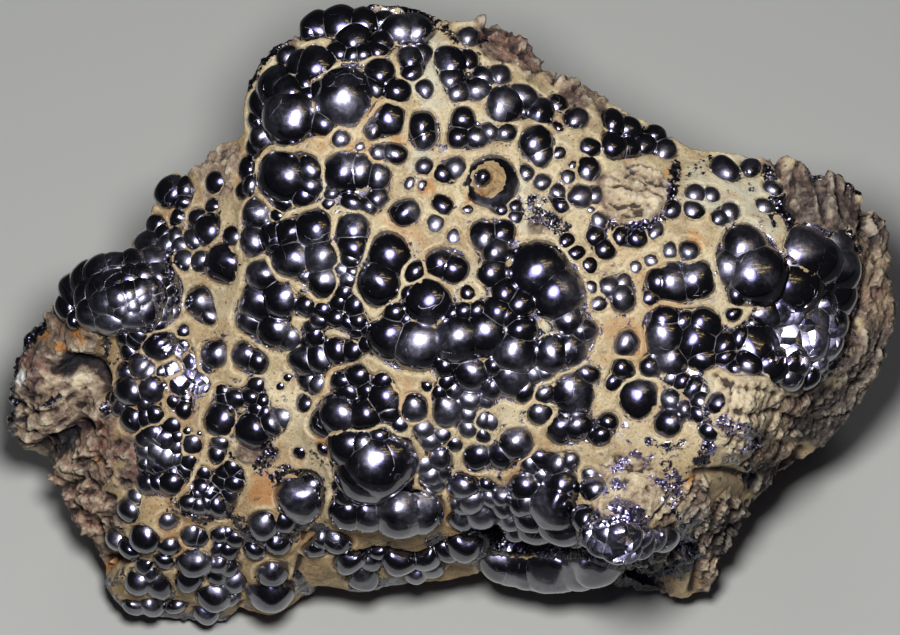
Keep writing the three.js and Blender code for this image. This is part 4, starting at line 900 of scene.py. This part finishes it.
def shape_body(body, centres, radii, cluster, width):
    """Gives the plain body its walls, grain, rock and cracks, and what its material reads.

    Returns how far each vertex is under the crust's relief.
    """
    mesh = body.data
    points, normals = read_points(mesh), read_normals(mesh)
    normals = np.column_stack([spread(mesh, normals[:, k], 10) for k in range(3)])
    normals /= np.linalg.norm(normals, axis=1)[:, None]
    uvw = to_face(points)
    uv = uvw[:, :2]
    below = crust(uv) - uvw[:, 2]
    rock = rockiness(points, uvw, below)
    gap, ridge, size = crust_gap(unbent(uvw), centres, radii, cluster, width)
    plain = crust_push(gap, ridge, size)
    deep = ramp(below, 10, 18)
    bare = bareness(uv) * (1 - deep) - 3 * deep
    tone, warmth = stains(points, uv)

    broken, naked = rock > 0.01, bare > -0.6
    break_up, jagged = np.zeros(len(points)), np.zeros(len(points))
    break_up[broken] = rock_height(points[broken], uvw[broken])
    jagged[naked] = druse_height(points[naked], bare[naked])
    grain = 0.22 * fractal(points, 2.6, 4, seed=3)
    grain += 0.1 * np.abs(fractal(points, 0.9, 3, seed=4))
    grain += 0.16 * (0.5 - np.abs(fractal(points, (3.4, 2.2, 2.2), 3, seed=13)))
    clear = ramp(gap, 0.2, 1.6)
    push = plain + (1 - rock) * grain * (0.3 + 0.7 * clear)
    push += rock * break_up * (0.15 + 0.85 * clear)
    push += jagged * clear
    push -= crack_depth(uv) * ramp(below, 6, 3) * clear
    above_rest = ramp(points[:, 2], 0.2, 3.0)
    push = np.clip(push, -5.0, 2.2) * above_rest
    points = points + normals * push[:, None]
    points[:, 2] = np.maximum(points[:, 2], 0)
    write_points(mesh, points)
    relief_only = push - plain * above_rest
    set_attributes(
        mesh, shore=0.03 - gap - 0.3 * ramp(ridge, 0, 0.12) - 0.9 * ridge, rock=rock, tone=tone,
        # cavity, the relief against its smoothed self, sets the painted shade in crevices and light
        # on ridges
        warmth=warmth, cavity=relief_only - spread(mesh, relief_only, 16), bare=bare,
        ochre=round_patches(uv, OCHRE, 1.2), pale=round_patches(uv, PALE, 2.0), brown=browning(uv))
    return below


def split_body(body, below):
    """The crusted face and the rock under it, each in two halves, which share their borders."""
    mesh = body.data
    corners = field(mesh.loops, "vertex_index", kind=np.int32)
    starts = field(mesh.polygons, "loop_start", kind=np.int32)
    deep = np.minimum.reduceat((below > CRUST_DEPTH)[corners].astype(int), starts).astype(bool)
    right = (read_points(mesh)[:, 0] > 0)[corners[starts]]
    normals = read_normals(mesh)
    pieces = []
    for name, keep in (("tan_crust_left", ~deep & ~right), ("tan_crust_right", ~deep & right),
                       ("broken_rock_left", deep & ~right), ("broken_rock_right", deep & right)):
        piece = new_object(name, mesh.copy())
        bm = bmesh.new()
        bm.from_mesh(piece.data)
        index = bm.verts.layers.int.new("kept")
        for v in bm.verts:
            v[index] = v.index
        dropped = [f for f, kept in zip(bm.faces, keep) if not kept]
        bmesh.ops.delete(bm, geom=dropped, context="FACES")
        kept = [v[index] for v in bm.verts]
        bm.verts.layers.int.remove(index)
        bm.to_mesh(piece.data)
        bm.free()
        piece.data.shade_smooth()
        piece.data.normals_split_custom_set_from_vertices(normals[kept])
        pieces.append(piece)
    bpy.data.objects.remove(body)
    return pieces


# ------------------------------------------------------------------ the lobes

def sphere_points(level):
    """The points and faces of a round ball of radius 1."""
    bm = bmesh.new()
    bmesh.ops.create_icosphere(bm, subdivisions=level, radius=1.0)
    points = np.array([v.co[:] for v in bm.verts])
    faces = np.array([[v.index for v in f.verts] for f in bm.faces])
    bm.free()
    return points, faces


def cap_of(sphere, keep_from):
    """A ball's upper part: what is lower than keep_from is drawn together in one point."""
    points, faces = sphere
    low = points[:, 2] < keep_from
    if not low.any():
        return points, faces
    index = np.where(low, 0, np.cumsum(~low))
    faces = index[faces]
    a, b, c = faces.T
    faces = faces[(a != b) & (b != c) & (c != a)]
    return np.vstack([[0, 0, keep_from - 0.1], points[~low]]), faces


def apart_batches(centres, radii):
    """The balls in batches, from large to small, such that those of one batch don't touch."""
    batches = []
    for k in np.argsort(-radii):
        for batch in batches:
            away = np.linalg.norm(centres[batch] - centres[k], axis=1)
            if (away > 1.05 * (radii[batch] + radii[k]) + 0.05).all():
                batch.append(k)
                break
        else:
            batches.append([k])
    return batches


def build_lobes(name, centres, radii, normals):
    """The lobes' balls, without what is buried deep, joined in one mesh."""
    spheres = {level: sphere_points(level) for level in (3, 4, 5)}
    sunk = -((centres[:, 2] - crust(centres[:, :2])) * normals[:, 2])
    whole = None
    for batch in apart_batches(centres, radii):
        points, faces, start = [], [], 0
        for k in batch:
            radius = radii[k]
            sphere = spheres[5 if radius > FINE_BALL else 4 if radius > COARSE_BALL else 3]
            unit, triangles = cap_of(sphere, max((sunk[k] - BURIED) / radius, -0.8))
            spin = Matrix.Rotation(k * 2.4, 3, "Z")
            turn = np.array(Vector(normals[k]).to_track_quat("Z", "Y").to_matrix() @ spin)
            uneven = fractal(unit + k * 3.1, 1.3, 2)
            ball = centres[k] + (unit @ turn.T) * radius * (1 + LOBE_UNEVEN * uneven[:, None])
            points.append(from_face(ball))
            faces.append(triangles + start)
            start += len(unit)
        balls = mesh_object(name, np.concatenate(points), np.concatenate(faces))
        if whole is None:
            whole = balls
        else:
            boolean(whole, balls, "UNION")
    return whole


def burst(piece, centres, radii):
    """The burst bubble: its top is broken out in a crater, with a small bubble left inside."""
    u, v, size = BURST
    k = np.argmin(np.hypot(centres[:, 0] - u, centres[:, 1] - v))
    top = centres[k] + [u - centres[k, 0], v - centres[k, 1], radii[k]]
    unit, triangles = sphere_points(5)
    rough = fractal(unit, 0.8, 4, seed=9)
    for name, place, radius, ragged, operation in (
            ("crater", (0, 0, 0.7), size, 0.2, "DIFFERENCE"),
            ("inner", BURST_INNER, 0.72 * size, 0.04, "UNION"),
            ("debris", (1.9, -1.3, -2.0), 0.42 * size, 0.25, "UNION")):
        ball = top + place + unit * radius * (1 + ragged * rough[:, None])
        boolean(piece, mesh_object(name, from_face(ball), triangles), operation)
    return top


def shape_lobes(piece, centres, radii, cluster, listed, crater=None):
    """Draws the lobes out of round and sets what their material reads: how far each point is
    clear of the crust and of the next lobe, and how large its lobe is."""
    mesh = piece.data
    uvw = to_face(read_points(mesh))
    ground = uvw.copy()
    ground[:, 2] = crust(uvw[:, :2])
    gap, ridge, size = crust_gap(ground, centres, radii, cluster, listed)
    upright = crust_normal(uvw[:, :2])[:, 2]
    lift = (uvw[:, 2] - ground[:, 2]) * upright - crust_push(gap, ridge, size)
    brown = browning(uvw[:, :2])
    if crater is not None:
        place = uvw - crater
        away = np.hypot(place[:, 0], place[:, 1]) / BURST[2]
        inner = place - BURST_INNER
        inside = np.hypot(inner[:, 0], inner[:, 1]) / BURST[2]
        broken = (away < 1.02) & (inside > 0.55) & (place[:, 2] < -0.1) & (place[:, 2] > -3.2)
        lift = np.where(broken, -1.0 + 0.9 * fractal(uvw, 1.4, 3, seed=10), lift)
        # painted shade: the crater's broken inside is tinted darker brown than any crust
        brown[broken] = 1.5
    width = np.full(len(uvw), 0.3)
    for part, near, away in near_lobes(uvw, centres, radii, 2.0):
        width[part] = np.clip(listed[near][away.argmin(axis=1)] / 3.6, 0.28, 1)
    seam = seam_distance(uvw, centres, radii)
    uvw = bent(uvw)
    write_points(mesh, from_face(uvw))
    uv = uvw[:, :2]
    set_attributes(
        mesh, shore=lift, seam=seam, width=width, ochre=round_patches(uv, OCHRE, 1.2),
        pale=round_patches(uv, PALE, 2.0), bright=round_patches(uv, BRIGHT, 2.0), brown=brown)
    mesh.shade_smooth()
    mesh.set_sharp_from_angle(angle=SEAM_CREASE)


# ------------------------------------------------------------------ materials

class Nodes:
    """A short way to write a material's nodes."""

    def __init__(self, name):
        self.material = bpy.data.materials.new(name)
        self.material.use_nodes = True
        self.tree = self.material.node_tree
        self.tree.nodes.clear()

    def add(self, kind, inputs, **settings):
        node = self.tree.nodes.new("ShaderNode" + kind)
        for key, value in settings.items():
            setattr(node, key, value)
        for key, value in inputs.items():
            self.feed(node.inputs[key], value)
        return node

    def feed(self, socket, value):
        if isinstance(value, bpy.types.NodeSocket):
            self.tree.links.new(value, socket)
        elif isinstance(value, bpy.types.Node):
            self.tree.links.new(value.outputs[0], socket)
        else:
            socket.default_value = value

    def attribute(self, name):
        return self.add("Attribute", {}, attribute_name=name).outputs["Fac"]

    def math(self, operation, value, *others):
        """One operation, between the first value and each of the others in turn."""
        for other in others:
            value = self.add("Math", {0: value, 1: other}, operation=operation).outputs[0]
        return value

    def times(self, *values):
        return self.math("MULTIPLY", *values)

    def most(self, *values):
        return self.math("MAXIMUM", *values)

    def total(self, *terms):
        """The sum of (socket, share) terms."""
        result = 0.0
        for socket, share in terms:
            result = self.math("ADD", self.times(socket, share), result)
        return result

    def vector(self, operation, a, b):
        """One operation on two vectors, or a vector and the number that scales it."""
        second = 3 if operation == "SCALE" else 1
        return self.add("VectorMath", {0: a, second: b}, operation=operation)

    def place(self, seed):
        place = self.add("TexCoord", {}).outputs["Object"]
        return self.vector("ADD", place, (seed, seed * 0.7, -seed))

    def noise(self, size, detail, roughness, seed=0.0):
        """Noise from 0 to 1 whose lumps are about size mm across."""
        return self.add("TexNoise", {
            "Vector": self.place(seed), "Scale": 1 / (size * MM), "Detail": detail,
            "Roughness": roughness}).outputs[0]

    def patches(self, size, limits, detail=4, roughness=0.6, seed=0.0, out=(0.0, 1.0),
                smooth=True):
        """Noise, led from out[0] to out[1] between its limits."""
        return self.range(self.noise(size, detail, roughness, seed), *limits, *out, smooth)

    def cells(self, size, feature="F1", seed=0.0, wobble=0.0):
        """Cells about size mm across, with borders that are drawn aside by up to wobble mm."""
        place = self.place(seed)
        if wobble:
            bent = self.add("TexNoise", {"Vector": place, "Scale": 0.8 / (size * MM), "Detail": 2})
            aside = self.vector("SCALE", bent.outputs[1], wobble * MM)
            place = self.vector("ADD", place, aside)
        return self.add("TexVoronoi", {"Vector": place, "Scale": 1 / (size * MM)}, feature=feature)

    def flats(self, size, seed):
        """The height in metres of flats about size mm across that turn a surface level with the
        face, each with a lean of its own."""
        cells = self.cells(size, seed=seed)
        normal = self.add("NewGeometry", {}).outputs["Normal"]
        off_level = self.vector("SUBTRACT", normal, tuple(FACE_TURN[:, 2]))
        uneven = self.vector("SUBTRACT", cells.outputs["Color"], (0.5, 0.5, 0.5))
        lean = self.vector("ADD", self.vector("SCALE", off_level, FLATS_LEVEL),
                           self.vector("SCALE", uneven, FLATS_LEAN))
        across = self.vector("SUBTRACT", self.place(seed), cells.outputs["Position"])
        return self.vector("DOT_PRODUCT", across, lean).outputs["Value"]

    def range(self, value, low, high, out_low=0.0, out_high=1.0, smooth=True):
        kind = "SMOOTHSTEP" if smooth else "LINEAR"
        sockets = {0: value, 1: low, 2: high, 3: out_low, 4: out_high}
        return self.add("MapRange", sockets, interpolation_type=kind).outputs[0]

    def colours(self, value, stops):
        """A colour ramp through (place, sRGB colour) stops."""
        node = self.add("ValToRGB", {0: value})
        ramp_stops = node.color_ramp.elements
        while len(ramp_stops) < len(stops):
            ramp_stops.new(0.5)
        for stop, (place, colour) in zip(ramp_stops, stops):
            stop.position = place
            stop.color = rgba(*colour)
        return node.outputs[0]

    def mix(self, share, a, b, blend="MIX"):
        sockets = {0: share, 6: a, 7: b}
        return self.add("Mix", sockets, data_type="RGBA", blend_type=blend).outputs[2]

    def tint(self, share, colour, by, blend):
        """A colour, as far as the share says replaced by its blend with another."""
        return self.mix(share, colour, self.mix(1.0, colour, by, blend))

    def blend(self, share, a, b):
        return self.add("Mix", {0: share, 2: a, 3: b}, data_type="FLOAT").outputs[0]

    def bump(self, height, distance):
        return self.add("Bump", {"Height": height, "Strength": 1.0, "Distance": distance * MM})

    def shaded(self, sockets):
        """Ends the material with a principled shader and returns it."""
        shader = self.add("BsdfPrincipled", sockets)
        self.add("OutputMaterial", {"Surface": shader})
        return self.material


def linear(c):
    """One 0-255 sRGB channel as linear light."""
    c = c / 255
    return c / 12.92 if c <= 0.04045 else ((c + 0.055) / 1.055) ** 2.4


def rgba(r, g, b):
    return (linear(r), linear(g), linear(b), 1)


def tan_colour(n):
    """The earthy coating: straw to tan or brown, with bloom, orange stains and dark specks."""
    broad = n.total((n.noise(9.0, 5, 0.6, seed=3), 0.6), (n.noise(2.2, 5, 0.65, seed=33), 0.4))
    tan = n.colours(broad, [
        (0.3, (106, 86, 58)), (0.43, (158, 136, 100)), (0.52, (186, 168, 132)),
        (0.64, (212, 200, 168))])
    grain = n.colours(n.noise(0.4, 4, 0.7, seed=4), [
        (0.3, (104, 84, 60)), (0.46, (174, 154, 118)), (0.6, (206, 190, 156)),
        (0.75, (232, 220, 194))])
    tan = n.mix(0.4, tan, grain)
    stained = n.patches(15.0, (0.52, 0.68), seed=5, out=(0.0, 0.5))
    stained = n.most(stained, n.times(n.attribute("ochre"), 0.75))
    orange = n.mix(n.noise(0.9, 3, 0.6, seed=15), rgba(150, 92, 40), rgba(196, 140, 66))
    tan = n.mix(stained, tan, orange)
    pale = n.patches(12.0, (0.55, 0.7), seed=35, out=(0.0, 0.5))
    bloom = n.times(n.attribute("pale"), n.patches(2.6, (0.38, 0.6), seed=36, out=(0.3, 1.0)))
    tan = n.mix(n.most(pale, bloom), tan, n.mix(0.65, tan, rgba(188, 188, 172)))
    # The brown attribute darkens the tan: browner to the left and front, and painted shade in the
    # burst crater.
    tan = n.tint(n.times(n.attribute("brown"), 0.6), tan, rgba(206, 186, 158), "MULTIPLY")
    specks = n.patches(0.6, (0.6, 0.67), roughness=0.7, seed=14)
    return n.mix(n.times(specks, 0.85), tan, rgba(38, 30, 26))


def stone_colour(n):
    """Broken rock: brown-grey, paler or darker and greyer or redder as its stains say, a little
    darker where they paint shade, and white where they paint a glint.
    """
    tone, warmth = n.attribute("tone"), n.attribute("warmth")
    value = n.total((n.noise(4.0, 7, 0.68, seed=6), 0.62), (n.noise(0.8, 4, 0.7, seed=66), 0.38),
                    (tone, 0.17))
    stone = n.colours(value, [
        (0.26, (20, 17, 16)), (0.4, (62, 51, 43)), (0.5, (116, 98, 82)), (0.6, (156, 136, 112)),
        (0.76, (214, 198, 166))])
    red = n.times(n.patches(2.4, (0.36, 0.62), seed=16), n.most(warmth, 0.12))
    stone = n.mix(n.times(red, 0.85), stone, n.mix(0.62, stone, rgba(136, 62, 52)))
    rust = n.times(n.attribute("ochre"), n.patches(1.1, (0.36, 0.5), roughness=0.65, seed=17))
    stone = n.mix(n.times(rust, 0.9), stone, rgba(196, 126, 36))
    # Painted highlight: white where a stain is pale and grey, the glints on the hook's edge.
    painted_glint = n.range(n.math("SUBTRACT", tone, warmth), 1.4, 1.6)
    stone = n.mix(painted_glint, stone, rgba(216, 216, 214))
    grey = n.most(n.times(warmth, -0.8), 0.0)
    return n.tint(grey, stone, rgba(128, 128, 132), "SATURATION")


def crust_material():
    """Tan crust, broken rock and the bare black metal in both."""
    n = Nodes("crust_and_rock")
    shore, rock, cavity = n.attribute("shore"), n.attribute("rock"), n.attribute("cavity")
    tone, bare = n.attribute("tone"), n.attribute("bare")
    tan_only = n.math("SUBTRACT", 1.0, rock)
    ragged = n.total((n.noise(1.3, 5, 0.65), 0.9), (n.noise(0.4, 3, 0.65, seed=1), 0.5))
    islands = n.times(n.patches(5.0, (0.54, 0.62), seed=21), n.patches(1.2, (0.54, 0.59), seed=22),
                      tan_only)
    edge = n.range(n.math("ADD", shore, n.math("SUBTRACT", ragged, 0.8)), -0.04, 0.05)
    broken = n.total((n.noise(1.3, 6, 0.72, seed=26), 5.0), (bare, 1.0))
    glint = n.total((n.noise(3.2, 5, 0.7, seed=23), 1.0), (tone, -0.1))
    metal = n.most(edge, islands, n.range(broken, 2.62, 2.76),
                   n.times(n.range(glint, 0.64, 0.7), rock, 0.7))

    earth = n.mix(rock, tan_colour(n), stone_colour(n))
    # Painted shade and light: darker in the relief's crevices and paler on its ridges, as the
    # cavity says.
    painted_crevice_shade = n.range(cavity, -0.5, 0.0, 0.95, 0.0)
    earth = n.tint(painted_crevice_shade, earth, rgba(70, 56, 46), "MULTIPLY")
    painted_ridge_light = n.range(cavity, 0.08, 0.7, 0.0, 0.4)
    earth = n.tint(painted_ridge_light, earth, rgba(228, 214, 190), "SCREEN")
    rim = n.times(n.range(shore, -0.8, -0.4), n.range(shore, -0.12, -0.3), tan_only,
                  n.patches(2.5, (0.4, 0.6), detail=3, seed=29))
    earth = n.mix(n.times(rim, 0.45), earth, rgba(226, 212, 178))
    # Dark specks in the crust near the lobes' edge.
    dark_specks_by_lobes = n.times(n.range(shore, -0.7, -0.05),
                   n.patches(0.6, (0.5, 0.58), detail=5, roughness=0.75, seed=27), tan_only)
    earth = n.mix(n.times(dark_specks_by_lobes, 0.5), earth, rgba(78, 62, 48))
    # Painted shade: the darkest tones turn earth and bare metal near black in the pit, under the
    # hook and in the front hollow.
    sunk = n.range(tone, -0.5, -0.95, 0.0, 0.85)
    earth = n.mix(sunk, earth, rgba(12, 11, 11))
    steel = n.mix(n.range(tone, 0.5, 1.0), rgba(80, 79, 88), rgba(170, 164, 196))
    colour = n.mix(metal, earth, n.mix(sunk, steel, rgba(18, 18, 20)))

    roughness = n.blend(
        metal, n.patches(1.5, (0.35, 0.65), seed=24, out=(0.58, 0.85), smooth=False),
        n.patches(0.9, (0.35, 0.65), detail=3, seed=28, out=(0.14, 0.36), smooth=False))
    grit = n.total((n.noise(0.8, 5, 0.7, seed=9), 0.5), (n.noise(0.28, 3, 0.7, seed=10), 0.3))
    chips = n.cells(0.9, seed=25).outputs["Distance"]
    height = n.blend(rock, grit, n.total((grit, 1.8), (chips, -0.7)))
    druse = n.cells(0.7, seed=41).outputs["Distance"]
    height = n.blend(n.times(metal, n.range(bare, -1.0, 0.0)), height, druse)
    # The bump is smoothed on the painted glints.
    white = n.math("SUBTRACT", tone, n.attribute("warmth"))
    height = n.times(height, n.range(white, 1.5, 2.0, 1.0, 0.2))
    return n.shaded({
        "Base Color": colour, "Roughness": roughness, "Metallic": metal,
        "Normal": n.bump(height, CRUST_BUMP), "Coat Weight": n.times(metal, 0.8),
        "Coat Roughness": 0.12, "Coat IOR": 1.5})


def lobe_material():
    """Polished black hematite, with pale seams where lobes meet, part dust and part painted
    highlight, and the crust's lap at its foot.
    """
    n = Nodes("polished_hematite")
    bright = n.attribute("bright")
    ragged = n.total((n.noise(3.2, 3, 0.55), 4.2), (n.noise(0.9, 5, 0.7, seed=1), 1.8))
    ragged = n.times(n.math("SUBTRACT", ragged, 2.86), n.attribute("width"))
    lap = n.range(n.math("SUBTRACT", n.attribute("shore"), ragged), -0.04, 0.05)
    width = n.patches(3.0, (0.38, 0.62), detail=3, seed=2, out=(0.01, 0.08))
    off_pale_seam = n.range(n.math("SUBTRACT", n.attribute("seam"), width), -0.015, 0.04)
    crease = n.cells(4.6, "DISTANCE_TO_EDGE", seed=51, wobble=4.0).outputs["Distance"]
    healed = n.patches(6.0, (0.4, 0.5), detail=3, seed=52, out=(0.0, 0.05))
    crease = n.range(n.math("ADD", crease, healed), 0.004, 0.014)
    off_pale_seam = n.math("MINIMUM", off_pale_seam, n.range(crease, 0.0, 1.0, 0.5, 1.0, False))

    scuffed = n.patches(8.0, (0.45, 0.62), detail=3, roughness=0.5, seed=7)
    dull = n.patches(0.8, (0.42, 0.7), roughness=0.65, seed=8, smooth=False)
    shine = n.mix(scuffed, rgba(92, 91, 99), rgba(136, 136, 143))
    shine = n.mix(bright, shine, rgba(134, 133, 146))
    scuffed = n.most(scuffed, n.attribute("pale"), n.times(bright, 0.4))
    # Pale, rougher metal along the seams and crease lines: part dust in them, part painted
    # highlight where the creases catch light.
    shine = n.mix(off_pale_seam, rgba(156, 156, 154), shine)
    colour = n.mix(lap, tan_colour(n), shine)
    gloss = n.blend(scuffed, n.blend(dull, 0.16, 0.25), n.blend(dull, 0.3, 0.45))
    roughness = n.blend(lap, 0.75, n.blend(off_pale_seam, 0.5, gloss))
    grit = n.math("ADD", n.noise(0.7, 5, 0.7, seed=9), 0.2)
    polish = n.times(n.noise(0.5, 3, 0.6, seed=11), n.blend(scuffed, 0.03, 0.08))
    flats = n.times(n.flats(2.4, seed=53), n.times(bright, 1 / (LOBE_BUMP * MM)))
    polish = n.math("ADD", polish, n.times(crease, 0.12), flats)
    return n.shaded({
        "Base Color": colour, "Roughness": roughness, "Metallic": lap,
        "Normal": n.bump(n.blend(lap, grit, polish), LOBE_BUMP),
        "Coat Weight": n.blend(lap, 0.1, 1.0), "Coat Roughness": 0.04, "Coat IOR": 1.65})


def plain_material(name, grey, roughness):
    return Nodes(name).shaded({"Base Color": rgba(*grey), "Roughness": roughness})


# ------------------------------------------------------------------ the stone

def build_stone():
    lobes = np.array(LOBES, float)
    centres, radii, normals = lobe_balls(lobes)
    body = build_body()
    large = lobes[:, 2] >= LARGE_LOBE
    pieces = []
    cluster = clusters(lobes)
    for name, chosen in (("large_lobes", large), ("small_lobes", ~large)):
        piece = build_lobes(name, centres[chosen], radii[chosen], normals[chosen])
        crater = burst(piece, centres, radii) if name == "large_lobes" else None
        shape_lobes(piece, centres, radii, cluster, lobes[:, 2], crater)
        pieces.append(piece)
    below = shape_body(body, centres, radii, cluster, lobes[:, 2])
    rough = split_body(body, below)
    for group, material in ((pieces, lobe_material()), (rough, crust_material())):
        for piece in group:
            piece.data.materials.clear()
            piece.data.materials.append(material)
            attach(piece, "root")
            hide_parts("hematite_specimen")


# ------------------------------------------------------------------ floor, light and camera

def build_surround():
    """A dark sheet on the floor round the lit place, which only the polished lobes show: it paints
    their reflections of the floor dark.
    """
    signs = ((-1, -1), (1, -1), (1, 1), (-1, 1))
    corners = [(x * across, y * deep, 1.0)
               for across, deep in (SURROUND_INSIDE, SURROUND_OUTSIDE) for x, y in signs]
    faces = [(k, (k + 1) % 4, (k + 1) % 4 + 4, k + 4) for k in range(4)]
    sheet = mesh_object("dark_surround", np.array(corners), np.array(faces))
    sheet.data.materials.append(plain_material("dark_surround", SURROUND_GREY, 1.0))
    sheet.visible_camera = False
    sheet.visible_diffuse = False
    sheet.visible_shadow = False


def build_stage():
    bpy.ops.mesh.primitive_plane_add(size=24)
    floor = bpy.context.object
    floor.name = "floor"
    floor.data.materials.append(plain_material("floor", FLOOR_GREY, 0.75))
    build_surround()
    world = bpy.data.worlds.new("world")
    world.use_nodes = True
    background = world.node_tree.nodes["Background"]
    background.inputs[0].default_value = ROOM_COLOUR
    background.inputs[1].default_value = ROOM_STRENGTH
    bpy.context.scene.world = world
    bpy.context.scene.view_settings.view_transform = "Standard"


def add_area(name, uvw, size, power, colour, along=(1, 0, 0)):
    """An area light at a place in the face's frame, in mm, aimed at the face: round, or a bar
    along a line."""
    light = bpy.data.lights.new(name, "AREA")
    light.shape = "ELLIPSE" if size[0] == size[1] else "RECTANGLE"
    light.energy, light.color = power, colour
    light.size, light.size_y = size[0] * MM, size[1] * MM
    obj = new_object(name, light)
    place = np.array(uvw, float)
    away = place / np.linalg.norm(place)
    level = along - np.dot(along, away) * away
    level /= np.linalg.norm(level)
    turn = FACE_TURN @ np.column_stack([level, np.cross(away, level), away])
    obj.location = from_face(place) * MM
    obj.rotation_euler = Matrix(turn.tolist()).to_euler()
    obj.visible_camera = False
    obj.visible_diffuse = name in ("flash", "fill")
    obj.visible_glossy = name != "fill"


def shown_at(across, up):
    """Where a light is, in the face's frame, that a ball shows so far right of its centre and
    above it."""
    normal = np.array([across, up, math.sqrt(1 - across ** 2 - up ** 2)])
    return LAMP_DISTANCE * (2 * normal[2] * normal - (0, 0, 1))


def add_lamps():
    for number, (across, up) in enumerate(LAMPS, 1):
        left, right = (shown_at(across + side * LAMP_WIDTH / 2, up) for side in (-1, 1))
        size = (np.linalg.norm(right - left), LAMP_THICKNESS)
        add_area("lamp_%d" % number, shown_at(across, up), size, LAMP_POWER, LAMP_COLOUR,
                 right - left)


def build_camera():
    data = bpy.data.cameras.new("camera")
    data.sensor_width = 36
    data.lens = data.sensor_width * VIEW_DISTANCE / FRAME_WIDTH
    data.clip_start, data.clip_end = 0.05, 40
    camera = new_object("camera", data)
    camera.location = from_face(np.array([0, 0, VIEW_DISTANCE + FRAME_DEPTH])) * MM
    camera.rotation_euler = (FACE_LEAN, 0, 0)
    bpy.context.scene.camera = camera


build_stone()
build_stage()
build_camera()
for light in LIGHTS:
    add_area(*light)
add_lamps()

bpy.context.view_layer.update()
